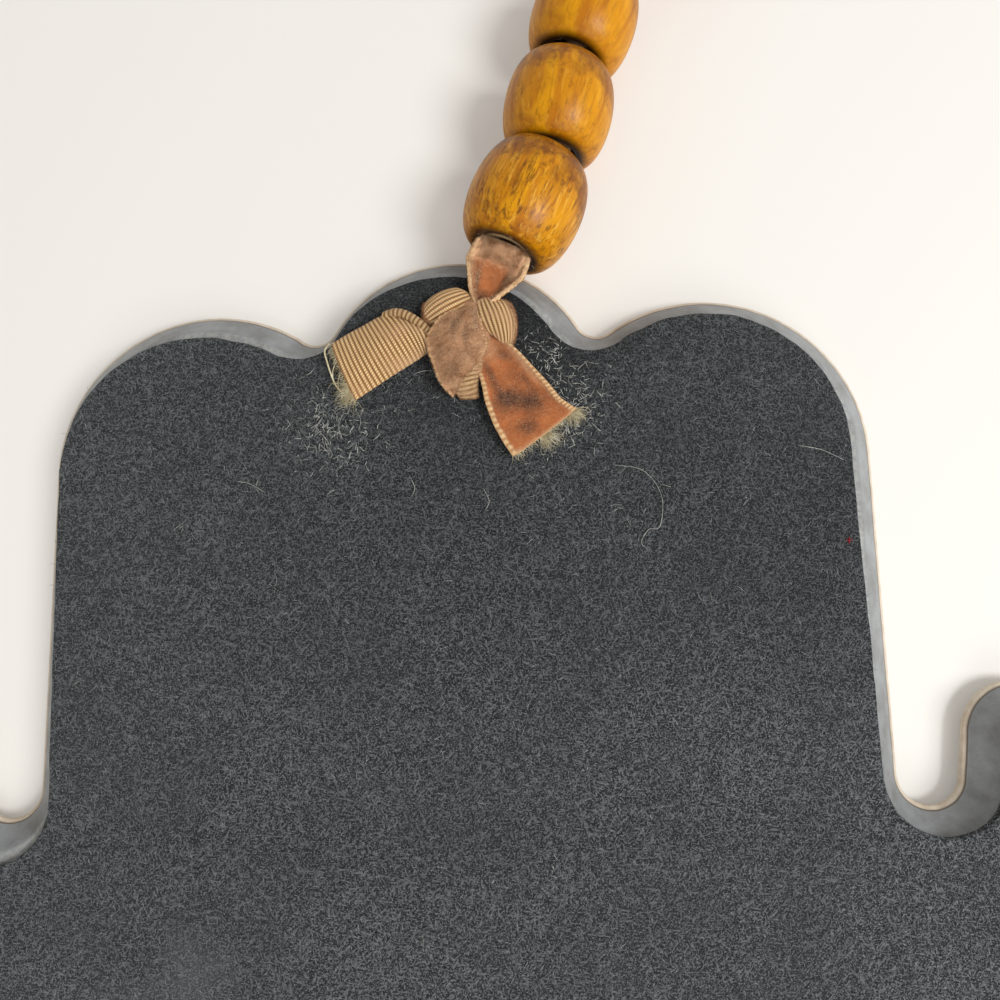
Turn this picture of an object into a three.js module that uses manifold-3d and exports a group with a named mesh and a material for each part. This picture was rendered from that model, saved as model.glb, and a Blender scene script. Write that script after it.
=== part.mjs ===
// A hamsa wall plaque with its hanging ribbon and three wooden beads, lying face down.
// Millimetres. +Z comes out of the felt back, +Y runs up the middle finger to the hanging loop,
// and the origin is the middle of the eye on the front, the face that the plaque lies on.
import Module from 'manifold-3d';
import * as THREE from 'three';
import { mergeVertices } from 'three/addons/utils/BufferGeometryUtils.js';

const wasm = await Module();
wasm.setup();

// Outline at its widest line, named from the middle fingertip down to the wrist
const tipHeight = 100;
const middleTipRadius = 22.5;
const sideTipRadius = 24.8;
const sideTipOffset = 38.4;
const sideTipDrop = 7.8;
const notchRadius = 3.3;
const valleyOffset = 67.7;
const valleyHeight = 20;
const valleyRadius = 4.5;
const thumbOffset = 81;
const thumbHeight = 25;
const thumbRadius = 8;
const palmSideRadius = 135;
const wristDepth = 108;
const wristRadius = 32;

// Section of the cast body, from its front ground to its flat back
const reliefHeight = 1.2;
const bodyThickness = 5.2;
const bevelHeight = 3.6;
const bevelInset = 3.8;
const rimRound = 1.1;
const rimLip = 0.5;
const backRound = 0.3;

// Felt backing, glued on slightly turned and trimmed by hand
const glueGap = 0.2;
const feltThickness = 1;
const feltMargin = 0.15;
const feltTurn = THREE.MathUtils.degToRad(1);
const feltPivotHeight = 40;
const feltShift = 0.2;

// Hanging hole under the knot
const holeOffset = 1.5;
const holeDrop = 15;
const holeRadius = 3.25;
const feltHoleMargin = 0.5;

// Front relief: an eye in the palm, finger divisions, thumb creases and drops
const reliefRoot = 0.6;
const reliefBevel = 0.4;
const eyeLength = 58;
const eyeWidth = 30;
const eyeLine = 2.6;
const irisRadius = 10.5;
const irisLine = 2.4;
const pupilRadius = 4.8;
const ridgeWidth = 2.6;
const ridgeLength = 46;
const ridgeClearance = 9;
const dropLength = 9;
const dropWidth = 5.4;
const dropClearance = 27;
const creaseRadius = 62;
const creaseOffset = 42;
const creaseDrop = 14;
const creaseSweep = THREE.MathUtils.degToRad(40);
const wristDropClearance = 15;

// Ribbon: velvet on one side, ribbed on the other
const ribbonWidth = 10;
const ribbonThickness = 0.9;
const restGap = 0.3;

// Knot, by the middle of its heart: right of the fingertip and down from it
const knotOffset = 2.15;
const knotDrop = 14.35;

// Beads, from the plaque up: three barrels of slightly different size
const beadDiameters = [17.8, 17, 16.6];
const beadLengths = [16.3, 14.3, 14.6];
const beadTurns = [24.7, 13.5, 19.6];
const beadFaceRadius = 5.2;
const beadBoreRadius = 4.1;
const beadMouthChamfer = 0.4;
const beadGap = 1.3;
const beadRest = 0.15;
const firstBeadDip = THREE.MathUtils.degToRad(4);
const strandOffset = 8.1;
const strandDrop = 1.6;
const neckOffset = 3.3;
const neckHeight = 7;
const neckRise = 1.9;

const ground = reliefHeight;
const backHeight = ground + bodyThickness;
const feltBottom = backHeight + glueGap;
const feltTop = feltBottom + feltThickness;
const bevelFoot = backHeight - bevelHeight;

const finishes = {
  body: { color: 0x8d8f8e, roughness: 0.5, metalness: 0.1 },
  felt: { color: 0x1d1e20, roughness: 1, metalness: 0 },
  ribbon: { color: 0xa8835c, roughness: 0.85, metalness: 0 },
  bead: { color: 0xb87a24, roughness: 0.4, metalness: 0 },
};

const group = new THREE.Group();

function addPiece(name, geometry, finish) {
  const mesh = new THREE.Mesh(geometry, new THREE.MeshStandardMaterial(finishes[finish]));
  mesh.name = name;
  group.add(mesh);
  return mesh;
}

// Solids and booleans

function toSolid(geometry) {
  const bare = geometry.clone();
  bare.deleteAttribute('normal');
  bare.deleteAttribute('uv');
  const merged = mergeVertices(bare, 1e-5);
  return new wasm.Manifold(new wasm.Mesh({
    numProp: 3,
    vertProperties: new Float32Array(merged.attributes.position.array),
    triVerts: new Uint32Array(merged.index.array),
  }));
}

function toGeometry(solid) {
  const mesh = solid.getMesh();
  const geometry = new THREE.BufferGeometry();
  geometry.setAttribute('position', new THREE.BufferAttribute(mesh.vertProperties, 3));
  geometry.setIndex(new THREE.BufferAttribute(mesh.triVerts, 1));
  return geometry;
}

function box(low, high) {
  const size = high.clone().sub(low);
  const middle = low.clone().add(high).multiplyScalar(0.5);
  return new THREE.BoxGeometry(size.x, size.y, size.z).translate(middle.x, middle.y, middle.z);
}

// A closed skin over rings of equal length, wound the right way round by its volume
function skinRings(rings, caps) {
  const count = rings[0].length;
  const positions = rings.flat().flatMap((p) => [p.x, p.y, p.z]);
  const index = [];
  for (let r = 0; r + 1 < rings.length; r++) {
    for (let i = 0; i < count; i++) {
      const j = (i + 1) % count;
      const [a, b] = [r * count + i, r * count + j];
      index.push(a, b, b + count, a, b + count, a + count);
    }
  }
  const last = (rings.length - 1) * count;
  for (const [a, b, c] of caps) {
    index.push(a, c, b, last + a, last + b, last + c);
  }
  const volume = index.reduce((sum, _, k) => {
    if (k % 3) return sum;
    const [a, b, c] = [0, 1, 2].map((n) => new THREE.Vector3().fromArray(positions, 3 * index[k + n]));
    return sum + a.dot(b.cross(c));
  }, 0);
  const geometry = new THREE.BufferGeometry();
  geometry.setAttribute('position', new THREE.Float32BufferAttribute(positions, 3));
  geometry.setIndex(volume > 0 ? index : index.reverse());
  return geometry;
}

// Outline: circles in a row, joined by their common tangents. turn is 1 where the outline
// bulges and -1 where it is hollow.

function meet(a, reachA, b, reachB, side) {
  const [dx, dy] = [b.x - a.x, b.y - a.y];
  const apart = Math.hypot(dx, dy);
  const along = (apart ** 2 + reachA ** 2 - reachB ** 2) / (2 * apart);
  const off = side * Math.sqrt(Math.max(0, reachA ** 2 - along ** 2));
  return { x: a.x + (along * dx - off * dy) / apart, y: a.y + (along * dy + off * dx) / apart };
}

function tangentHeading(a, b) {
  const [dx, dy] = [b.x - a.x, b.y - a.y];
  const offset = (a.turn * a.r - b.turn * b.r) / Math.hypot(dx, dy);
  return Math.atan2(dy, dx) - Math.asin(THREE.MathUtils.clamp(offset, -1, 1));
}

function outlineChain() {
  const middleTip = { x: 0, y: tipHeight - middleTipRadius, r: middleTipRadius, turn: 1 };
  const sideTip = { x: sideTipOffset, y: middleTip.y - sideTipDrop, r: sideTipRadius, turn: 1 };
  const reach = [middleTipRadius + notchRadius, sideTipRadius + notchRadius];
  const notch = { ...meet(middleTip, reach[0], sideTip, reach[1], 1), r: notchRadius, turn: -1 };
  const valley = { x: valleyOffset, y: valleyHeight, r: valleyRadius, turn: -1 };
  const thumb = { x: thumbOffset, y: thumbHeight, r: thumbRadius, turn: 1 };
  const wrist = { x: 0, y: wristRadius - wristDepth, r: wristRadius, turn: 1 };
  const inner = [palmSideRadius - thumbRadius, palmSideRadius - wristRadius];
  const palmSide = { ...meet(thumb, inner[0], wrist, inner[1], -1), r: palmSideRadius, turn: 1 };
  return { middleTip, notch, sideTip, valley, thumb, palmSide, wrist };
}

// Points and outward normals, counter-clockwise from the wrist
function outlinePoints(chord) {
  const circles = Object.values(outlineChain());
  const half = [];
  let heading = 0;
  circles.forEach((circle, k) => {
    const leaves = k + 1 < circles.length ? tangentHeading(circle, circles[k + 1]) : -Math.PI;
    const from = heading + circle.turn * Math.PI / 2;
    let sweep = (leaves - heading) % (2 * Math.PI);
    if (sweep * circle.turn > 1e-6) sweep -= circle.turn * 2 * Math.PI;
    const steps = Math.max(2, Math.ceil(Math.abs(sweep) / (2 * Math.acos(1 - chord / circle.r))));
    for (let i = 0; i <= steps; i++) {
      const angle = from + sweep * i / steps;
      const [c, s] = [Math.cos(angle), Math.sin(angle)];
      half.push({
        x: circle.x + circle.r * c, y: circle.y + circle.r * s, nx: circle.turn * c, ny: circle.turn * s,
      });
    }
    heading = leaves;
  });
  const apart = (a, b) => Math.hypot(a.x - b.x, a.y - b.y);
  const right = half.filter((p, i) => i === 0 || apart(p, half[i - 1]) > 1e-3);
  const left = right.slice(1, -1).map((p) => ({ x: -p.x, y: p.y, nx: -p.nx, ny: p.ny }));
  return [...right.reverse(), ...left];
}

function inset(points, distance, z) {
  return points.map((p) => new THREE.Vector3(p.x - distance * p.nx, p.y - distance * p.ny, z));
}

function capFaces(ring) {
  return THREE.ShapeUtils.triangulateShape(ring.map((p) => new THREE.Vector2(p.x, p.y)), []);
}

// Cast body: front ground, bull-nosed rim, long bevel to the back

function bodySolid(points) {
  const rimSteps = 3;
  const section = [];
  for (let i = 0; i <= rimSteps; i++) {
    const a = i / rimSteps * Math.PI / 2;
    section.push([rimRound * (1 - Math.sin(a)), ground + rimRound * (1 - Math.cos(a))]);
  }
  section.push([0, bevelFoot - rimLip], [rimLip, bevelFoot]);
  section.push([bevelInset - backRound, backHeight - backRound]);
  section.push([bevelInset, backHeight]);
  const rings = section.map(([distance, z]) => inset(points, distance, z));
  return toSolid(skinRings(rings, capFaces(rings[rings.length - 1])));
}

// Relief on the front: flat-topped shapes that stand down from the ground to z = 0. Each is
// drawn as the contour of its top, and a hole's contour is cut back out with its own bevel.

function contour(path) {
  const points = path.getPoints(10);
  const kept = points.filter((p, i) => p.distanceTo(points[(i + 1) % points.length]) > 0.01);
  return THREE.ShapeUtils.isClockWise(kept) ? kept.reverse() : kept;
}

function grow(points, distance, z) {
  return points.map((p, i) => {
    const before = p.clone().sub(points[(i + points.length - 1) % points.length]).normalize();
    const after = points[(i + 1) % points.length].clone().sub(p).normalize();
    const normal = new THREE.Vector2(before.y + after.y, -before.x - after.x);
    const reach = Math.min(3, 2 / normal.lengthSq());
    return new THREE.Vector3(p.x + distance * reach * normal.x, p.y + distance * reach * normal.y, z);
  });
}

function plateau(path, flare) {
  const points = contour(path);
  const top = grow(points, 0, 0);
  const foot = grow(points, flare * reliefBevel, reliefBevel);
  const root = grow(points, flare * reliefBevel, reliefHeight + reliefRoot);
  const rings = flare > 0 ? [top, foot, root] : [grow(points, 0, -1), top, foot, root];
  return toSolid(skinRings(rings, capFaces(top)));
}

function raise(shape) {
  return shape.holes.reduce((solid, hole) => solid.subtract(plateau(hole, -1)), plateau(shape, 1));
}

function ringShape(outer, inner) {
  const shape = new THREE.Shape().absarc(0, 0, outer, 0, 2 * Math.PI);
  if (inner) shape.holes.push(new THREE.Path().absarc(0, 0, inner, 0, 2 * Math.PI));
  return shape;
}

function almondPath(path, length, width) {
  path.moveTo(-length / 2, 0);
  path.bezierCurveTo(-length / 4, -width * 2 / 3, length / 4, -width * 2 / 3, length / 2, 0);
  path.bezierCurveTo(length / 4, width * 2 / 3, -length / 4, width * 2 / 3, -length / 2, 0);
  return path;
}

function almondShape() {
  const shape = almondPath(new THREE.Shape(), eyeLength, eyeWidth);
  const narrower = eyeLine * eyeLength / eyeWidth;
  shape.holes.push(almondPath(new THREE.Path(), eyeLength - 2 * narrower, eyeWidth - 2 * eyeLine));
  return shape;
}

function ridgeShape(top, foot) {
  const along = foot.clone().sub(top).normalize();
  const turn = Math.atan2(along.x, -along.y);
  const shape = new THREE.Shape();
  shape.absarc(foot.x, foot.y, ridgeWidth / 2, turn + Math.PI, turn + 2 * Math.PI, false);
  shape.absarc(top.x, top.y, ridgeWidth / 2, turn, turn + Math.PI, false);
  return shape;
}

// A drop round at (x, y), its point up, or down where flip is -1
function dropShape(x, y, flip = 1) {
  const r = dropWidth / 2;
  const shape = new THREE.Shape();
  shape.moveTo(x - r, y);
  shape.bezierCurveTo(x - r, y - flip * r * 4 / 3, x + r, y - flip * r * 4 / 3, x + r, y);
  shape.quadraticCurveTo(x + r, y + flip * r, x, y + flip * (dropLength - r));
  shape.quadraticCurveTo(x - r, y + flip * r, x - r, y);
  return shape;
}

// The crease between palm and thumb: a curved ridge of even width
function creaseShape(side) {
  const [x, y] = [side * (creaseOffset - creaseRadius), -creaseDrop];
  const [inner, outer] = [creaseRadius - ridgeWidth / 2, creaseRadius + ridgeWidth / 2];
  const middle = side > 0 ? 0 : Math.PI;
  const [a, b] = [middle - creaseSweep / 2, middle + creaseSweep / 2];
  const end = (angle) => [x + creaseRadius * Math.cos(angle), y + creaseRadius * Math.sin(angle)];
  const shape = new THREE.Shape();
  shape.absarc(x, y, outer, a, b, false);
  shape.absarc(...end(b), ridgeWidth / 2, b, b + Math.PI, false);
  shape.absarc(x, y, inner, b, a, true);
  shape.absarc(...end(a), ridgeWidth / 2, a + Math.PI, a + 2 * Math.PI, false);
  return shape;
}

function reliefShapes() {
  const { notch, middleTip, sideTip, thumb } = outlineChain();
  const ridgeTop = new THREE.Vector2(notch.x, notch.y - ridgeClearance);
  const ridgeFoot = new THREE.Vector2(notch.x * 0.8, ridgeTop.y - ridgeLength);
  const shapes = [almondShape(), ringShape(irisRadius, irisRadius - irisLine), ringShape(pupilRadius)];
  shapes.push(dropShape(middleTip.x, tipHeight - dropClearance - dropLength));
  shapes.push(dropShape(0, -wristDepth + wristDropClearance + dropLength, -1));
  for (const side of [-1, 1]) {
    const mirror = new THREE.Vector2(side, 1);
    shapes.push(ridgeShape(ridgeTop.clone().multiply(mirror), ridgeFoot.clone().multiply(mirror)));
    shapes.push(dropShape(side * sideTip.x, sideTip.y));
    shapes.push(dropShape(side * (thumb.x - dropWidth / 2), thumb.y - dropLength));
    shapes.push(creaseShape(side));
  }
  return shapes;
}

function plaqueBody(points) {
  let solid = bodySolid(points);
  for (const shape of reliefShapes()) solid = solid.add(raise(shape));
  const drill = new THREE.CylinderGeometry(holeRadius, holeRadius, 4 * backHeight, 32);
  drill.rotateX(Math.PI / 2).translate(holeOffset, tipHeight - holeDrop, 0);
  return toGeometry(solid.subtract(toSolid(drill)));
}

// Felt: the back's outline, turned a little about a point up the hand, with a hole for the ribbon

function feltBacking(points) {
  const [c, s] = [Math.cos(feltTurn), Math.sin(feltTurn)];
  const edge = inset(points, bevelInset + feltMargin, 0).map((p) => {
    const up = p.y - feltPivotHeight;
    return new THREE.Vector2(c * p.x - s * up, s * p.x + c * up + feltPivotHeight + feltShift);
  });
  const shape = new THREE.Shape(edge);
  const hole = new THREE.Path();
  hole.absarc(holeOffset, tipHeight - holeDrop, holeRadius + feltHoleMargin, 0, 2 * Math.PI, true);
  shape.holes.push(hole);
  const geometry = new THREE.ExtrudeGeometry(shape, {
    depth: feltThickness, bevelEnabled: false, curveSegments: 12,
  });
  return geometry.translate(0, 0, feltBottom);
}

// Ribbon bands: stations { at, across, width, thickness, curl } along a smooth line. curl is how
// far the two edges stand above the middle, and across is the direction of the width.

function bandGeometry(stations, perSpan = 4, cells = 4) {
  const curve = new THREE.CatmullRomCurve3(stations.map((s) => s.at), false, 'centripetal');
  const spans = stations.length - 1;
  const rings = [];
  for (let i = 0; i <= spans * perSpan; i++) {
    const t = i / (spans * perSpan);
    const k = Math.min(spans - 1, Math.floor(t * spans));
    const [a, b, mix] = [stations[k], stations[k + 1], t * spans - k];
    const value = (key) => THREE.MathUtils.lerp(a[key], b[key], THREE.MathUtils.smoothstep(mix, 0, 1));
    const middle = curve.getPoint(t);
    const tangent = curve.getTangent(t);
    const across = a.across.clone().lerp(b.across, mix);
    across.addScaledVector(tangent, -across.dot(tangent)).normalize();
    const up = across.clone().cross(tangent);
    if (stations.up && up.dot(stations.up) < 0) up.negate();
    const ring = [];
    for (const face of [1, -1]) {
      for (let j = 0; j <= cells; j++) {
        const u = face * (2 * j / cells - 1);
        const thin = Math.abs(u) === 1 ? 0.5 : 1;
        const rise = value('curl') * u * u + face * thin * value('thickness') / 2;
        ring.push(middle.clone().addScaledVector(across, u * value('width') / 2).addScaledVector(up, rise));
      }
    }
    rings.push(ring);
  }
  const caps = [];
  for (let j = 0; j < cells; j++) {
    const [a, b, c, d] = [j, j + 1, 2 * cells - j, 2 * cells + 1 - j];
    caps.push([a, b, c], [a, c, d]);
  }
  return skinRings(rings, caps);
}

const vector = (x, y, z) => new THREE.Vector3(x, y, z);
const upward = vector(0, 0, 1);

// Places of the knotted ribbon are given from the middle of the knot, and up from the felt
const fromKnot = (x, y, rise) =>
  vector(knotOffset + x, tipHeight - knotDrop + y, feltTop + rise);

function station(at, across, width, thickness, curl = 0) {
  return { at, across: vector(...across).normalize(), width, thickness, curl };
}

// Knot: two ribbed turns beside one velvet turn over a packed heart, flat where it lies on the felt

function knotBands() {
  const wrap = ribbonThickness;
  return [
    [
      station(fromKnot(-5.6, 7.1, 0.6), [0.63, 0.77, 0.1], 7.6, wrap, -0.3),
      station(fromKnot(-3.9, 6, 2.0), [0.63, 0.77, 0.1], 8.2, wrap, -0.5),
      station(fromKnot(-1.4, 4.2, 2.9), [0.66, 0.75, 0], 7.6, wrap, -0.6),
      station(fromKnot(0.8, 2.4, 2.8), [0.7, 0.7, 0], 6.4, wrap, -0.4),
    ],
    [
      station(fromKnot(1.6, 2.6, 2.6), [0.1, 1, 0], 6.4, wrap, -0.4),
      station(fromKnot(4.4, 2.3, 2.5), [0.15, 1, 0], 7.4, wrap, -0.6),
      station(fromKnot(6.5, 2, 1.6), [0.2, 1, 0], 7.4, wrap, -0.4),
      station(fromKnot(7.1, 1.9, 0.6), [0.2, 1, 0], 7, wrap, -0.2),
    ],
    [
      station(fromKnot(1.6, 4.8, 2.7), [1, -0.3, 0], 2.4, 1.2, -0.2),
      station(fromKnot(0.1, 1.8, 3.5), [1, 0.1, 0], 5.4, 1.3, -0.7),
      station(fromKnot(-1.7, -2.2, 3.9), [1, 0.2, 0], 7.6, 1.4, -1.3),
      station(fromKnot(-1.5, -6, 2.9), [1, 0.1, 0], 7, 1.3, -1.2),
      station(fromKnot(-0.7, -8.7, 1.5), [1, -0.2, 0], 4.6, 1.2, -0.4),
      station(fromKnot(-0.1, -9.7, 0.7), [1, -0.3, 0], 3.4, 1, -0.1),
    ],
    [
      station(fromKnot(1.4, 3.4, 2.6), [1, -0.35, 0], 2.6, 1.1),
      station(fromKnot(2.3, 5.1, 2.2), [1, -0.4, 0], 3.2, 1.1),
      station(fromKnot(neckOffset, neckHeight, neckRise), [1, -0.45, 0], 3.6, 1.1),
    ],
  ];
}

function knotHeart(margin = 0) {
  const heart = new THREE.SphereGeometry(1, 20, 12);
  heart.scale(4.2 + margin, 5.8 + margin, 2.1 + margin).rotateZ(0.1);
  const place = fromKnot(0, 0, 1.9);
  return heart.translate(place.x, place.y, place.z);
}

// The neck turns on a round end here, so the knot is hollowed out round it
const neckEndRadius = 1.7;
const pivotGap = 0.35;

function knotGeometry() {
  let solid = toSolid(knotHeart());
  for (const stations of knotBands()) {
    stations.up = upward;
    solid = solid.add(toSolid(bandGeometry(stations)));
  }
  const socket = new THREE.CylinderGeometry(neckEndRadius + pivotGap, neckEndRadius + pivotGap, 20, 24);
  const pivot = fromKnot(neckOffset, neckHeight, neckRise);
  socket.rotateX(Math.PI / 2).translate(pivot.x, pivot.y, pivot.z);
  const below = box(vector(-40, 0, 0), vector(40, 2 * tipHeight, feltTop + restGap));
  return toGeometry(solid.subtract(toSolid(socket)).subtract(toSolid(below)));
}

// A tail ends just short of the turns of the knot that it comes from
function tailGeometry(stations, turns) {
  stations.up = upward;
  let solid = toSolid(bandGeometry(stations, 5)).subtract(toSolid(knotHeart(restGap)));
  const bands = knotBands();
  for (const k of turns) {
    const around = bands[k].map((s) => ({
      ...s, width: s.width + 2 * restGap, thickness: s.thickness + 2 * restGap,
    }));
    around.up = upward;
    solid = solid.subtract(toSolid(bandGeometry(around)));
  }
  return toGeometry(solid);
}

// Tails: the left one arched with its ribbed side up, the right one cupped with its velvet side up

function leftTail() {
  const stations = [
    station(fromKnot(-6, 0.5, 1.8), [-0.05, 1, 0], 4.6, ribbonThickness, -0.6),
    station(fromKnot(-10, 0, 2.7), [-0.15, 1, 0], 7.6, ribbonThickness, -1.4),
    station(fromKnot(-14.4, -2.1, 2.7), [-0.28, 1, 0], 9, ribbonThickness, -1.5),
    station(fromKnot(-18.8, -5.2, 2.3), [-0.33, 0.94, 0], 9.6, ribbonThickness, -1.3),
  ];
  return tailGeometry(stations, [0, 2]);
}

function rightTail() {
  const stations = [
    station(fromKnot(4.5, -2.9, 1.1), [1, 0, 0], 3.8, ribbonThickness, 0.1),
    station(fromKnot(5.7, -5.9, 1.0), [1, 0.15, 0], 6.4, ribbonThickness, 0.4),
    station(fromKnot(7.4, -10.1, 0.8), [0.955, 0.3, 0], 8.8, ribbonThickness, 1.1),
    station(fromKnot(11, -16, 0.9), [0.84, 0.54, 0], 10, ribbonThickness, 0.9),
  ];
  return tailGeometry(stations, [1, 2]);
}

// Front strand: up through the hole, along the front, round the rim and back over the bevel

function frontStrand() {
  const [wide, thin, lie] = [4.4, 0.4, 0.2];
  const fold = restGap + lie;
  const { middleTip } = outlineChain();
  const rimAt = (x, distance) => middleTip.y + Math.sqrt((middleTipRadius - distance) ** 2 - x ** 2);
  const across = [0.98, -0.18, 0];
  const onRim = (x, distance, z, width = wide) =>
    station(vector(x, rimAt(x, distance), z), across, width, thin);
  const holeY = tipHeight - holeDrop;
  const slope = Math.hypot(bevelInset, bevelHeight);
  const [outOfBevel, upFromBevel] = [fold * bevelHeight / slope, fold * bevelInset / slope];
  return bandGeometry([
    station(vector(holeOffset, holeY, feltTop - 0.2), across, 4, thin),
    station(vector(holeOffset, holeY, ground + 2.2), across, 4, thin),
    station(vector(holeOffset + 0.3, holeY + 1.3, ground - fold), across, 4, thin),
    station(vector(holeOffset + 1.2, holeY + 6, ground - fold), across, wide, thin),
    onRim(2.7, 2.2, ground - fold),
    onRim(2.8, 0.2, ground - fold + 0.35),
    onRim(2.8, -fold, ground + rimRound),
    onRim(2.8, rimLip - outOfBevel, bevelFoot + upFromBevel),
    onRim(3, (rimLip + bevelInset) / 2 - outOfBevel, (bevelFoot + backHeight) / 2 + upFromBevel),
    onRim(3.5, bevelInset - 0.9, feltTop + 0.2),
    onRim(4.1, bevelInset + 0.2, feltTop + fold + 0.35),
    onRim(4.8, bevelInset + 1.8, feltTop + fold, 3.4),
  ], 3, 2);
}

// Strand: the beads' axes, each bead resting just clear of the table

function strandFrames() {
  const frames = [];
  let start;
  beadTurns.forEach((degrees, i) => {
    const [radius, length] = [beadDiameters[i] / 2, beadLengths[i]];
    const turn = THREE.MathUtils.degToRad(degrees);
    const rest = radius + beadRest;
    let dip = firstBeadDip;
    if (i === 0) {
      start = vector(strandOffset, tipHeight - strandDrop, rest + length / 2 * Math.sin(dip));
    } else {
      dip = Math.asin((start.z - rest) / (beadGap + length / 2));
    }
    const along = vector(Math.sin(turn) * Math.cos(dip), Math.cos(turn) * Math.cos(dip), -Math.sin(dip));
    const mouth = start.clone().addScaledVector(along, i === 0 ? 0 : beadGap / 2);
    const end = mouth.clone().addScaledVector(along, length);
    frames.push({ along, mouth, end, middle: mouth.clone().lerp(end, 0.5), radius, length });
    start = end.clone().addScaledVector(along, beadGap / 2);
  });
  return frames;
}

function beadGeometry(radius, length) {
  const half = length / 2;
  const steps = 9;
  const profile = [new THREE.Vector2(beadBoreRadius + beadMouthChamfer, -half)];
  for (let i = 0; i <= 2 * steps; i++) {
    const a = (i / steps - 1) * Math.PI / 2;
    profile.push(new THREE.Vector2(
      beadFaceRadius + (radius - beadFaceRadius) * Math.cos(a) ** 0.9, half * Math.sin(a),
    ));
  }
  profile.push(new THREE.Vector2(beadBoreRadius + beadMouthChamfer, half));
  profile.push(new THREE.Vector2(beadBoreRadius, half - beadMouthChamfer));
  profile.push(new THREE.Vector2(beadBoreRadius, beadMouthChamfer - half));
  profile.push(profile[0].clone());
  return new THREE.LatheGeometry(profile, 30).rotateX(Math.PI / 2);
}

// Gathered ribbon inside each bead: it turns from lying flat at the plaque to standing on edge
// at the loop, and narrows at both ends so that the strand can bend between the beads.

const coreWidth = 6.4;
const coreThickness = 3;
const coreTipWidth = 2;
const coreTipThickness = 0.5;
const coreTipLength = 1.8;

function coreGeometry(frame, twistFrom, twistTo, first) {
  const flat = vector(frame.along.y, -frame.along.x, 0).normalize();
  const half = beadGap / 2 - pivotGap / 2;
  const ends = [first ? pivotGap : -half, frame.length + half];
  const widest = [ends[0] + coreTipLength, ends[1] - coreTipLength];
  const places = [ends[0], widest[0], (widest[0] + widest[1]) / 2, widest[1], ends[1]];
  return bandGeometry(places.map((place, i) => {
    const tip = i === 0 || i === places.length - 1;
    const twist = THREE.MathUtils.lerp(twistFrom, twistTo, i / (places.length - 1));
    const across = flat.clone().applyAxisAngle(frame.along, THREE.MathUtils.degToRad(twist));
    const at = frame.mouth.clone().addScaledVector(frame.along, place);
    return {
      at, across, width: tip ? coreTipWidth : coreWidth,
      thickness: tip ? coreTipThickness : coreThickness, curl: 0,
    };
  }), 3);
}

// Neck: both strands of ribbon from the knot into the lowest bead. It swings on its round lower end.

function neckGeometry(frame) {
  const pivot = fromKnot(neckOffset, neckHeight, neckRise);
  const along = frame.mouth.clone().sub(pivot);
  const length = along.length() - pivotGap;
  along.normalize();
  const across = vector(along.y, -along.x, 0).normalize();
  const at = (distance) => pivot.clone().addScaledVector(along, distance);
  const piece = (distance, width, thickness) => ({ at: at(distance), across, width, thickness, curl: 0 });
  const round = (share) => 2 * neckEndRadius * Math.sqrt(1 - share * share);
  return bandGeometry([
    piece(-0.95 * neckEndRadius, round(0.95), 1),
    piece(-0.5 * neckEndRadius, round(0.5), 1.1),
    piece(0, 2 * neckEndRadius, 1.1),
    piece(0.45 * length, 5, 1.1),
    piece(0.8 * length, 6.2, 1),
    piece(length, 5, 0.5),
  ], 3);
}

// Hanging loop: the doubled ribbon stands on edge out of the top bead and opens into a drop
// that lies on the table. Its points are chosen by hand, from the top bead's mouth.

const loopRoute = [
  [0.4, 1.1, 0], [3.2, 2.6, -0.8], [8.4, 4.2, -2.4], [15.6, 8.2, -3.7], [21.8, 16.2, -3.9],
  [23.6, 26.4, -3.9], [18.8, 35.8, -3.9], [9.6, 39.6, -3.9], [0.4, 36.6, -3.9], [-5, 28, -3.9],
  [-4.8, 17.2, -3.6], [-2.4, 8.4, -2.2], [-0.9, 1.3, 0],
];
const loopStartWidth = 7;

function loopGeometry(frame) {
  const lift = ribbonWidth / 2 + beadRest - frame.end.z;
  const lowest = Math.min(...loopRoute.map((p) => p[2]));
  return bandGeometry(loopRoute.map(([x, y, z], i) => {
    const end = i === 0 || i === loopRoute.length - 1;
    return station(
      frame.end.clone().add(vector(x, y, z * lift / lowest)), [0, 0, 1],
      end ? loopStartWidth : ribbonWidth, ribbonThickness,
    );
  }), 4, 2);
}

const outline = outlinePoints(0.1);
const strand = strandFrames();
const beadNames = ['low', 'mid', 'top'];

addPiece('plaque_body', plaqueBody(outline), 'body');
addPiece('felt_backing', feltBacking(outline), 'felt');
addPiece('ribbon_knot', knotGeometry(), 'ribbon');
addPiece('ribbon_tail_left', leftTail(), 'ribbon');
addPiece('ribbon_tail_right', rightTail(), 'ribbon');
addPiece('ribbon_front_strand', frontStrand(), 'ribbon');
addPiece('ribbon_neck', neckGeometry(strand[0]), 'ribbon');
strand.forEach((frame, i) => {
  const bead = addPiece(`bead_${beadNames[i]}`, beadGeometry(frame.radius, frame.length), 'bead');
  bead.position.copy(frame.middle);
  bead.quaternion.setFromUnitVectors(upward, frame.along);
  const core = coreGeometry(frame, 30 * i, 30 * (i + 1), i === 0);
  addPiece(`ribbon_core_${beadNames[i]}`, core, 'ribbon');
});
addPiece('ribbon_loop', loopGeometry(strand[2]), 'ribbon');

export default group;
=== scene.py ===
import math
import bmesh
import bpy
import numpy as np
from mathutils import Matrix, Vector
from mathutils.geometry import tessellate_polygon


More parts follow.
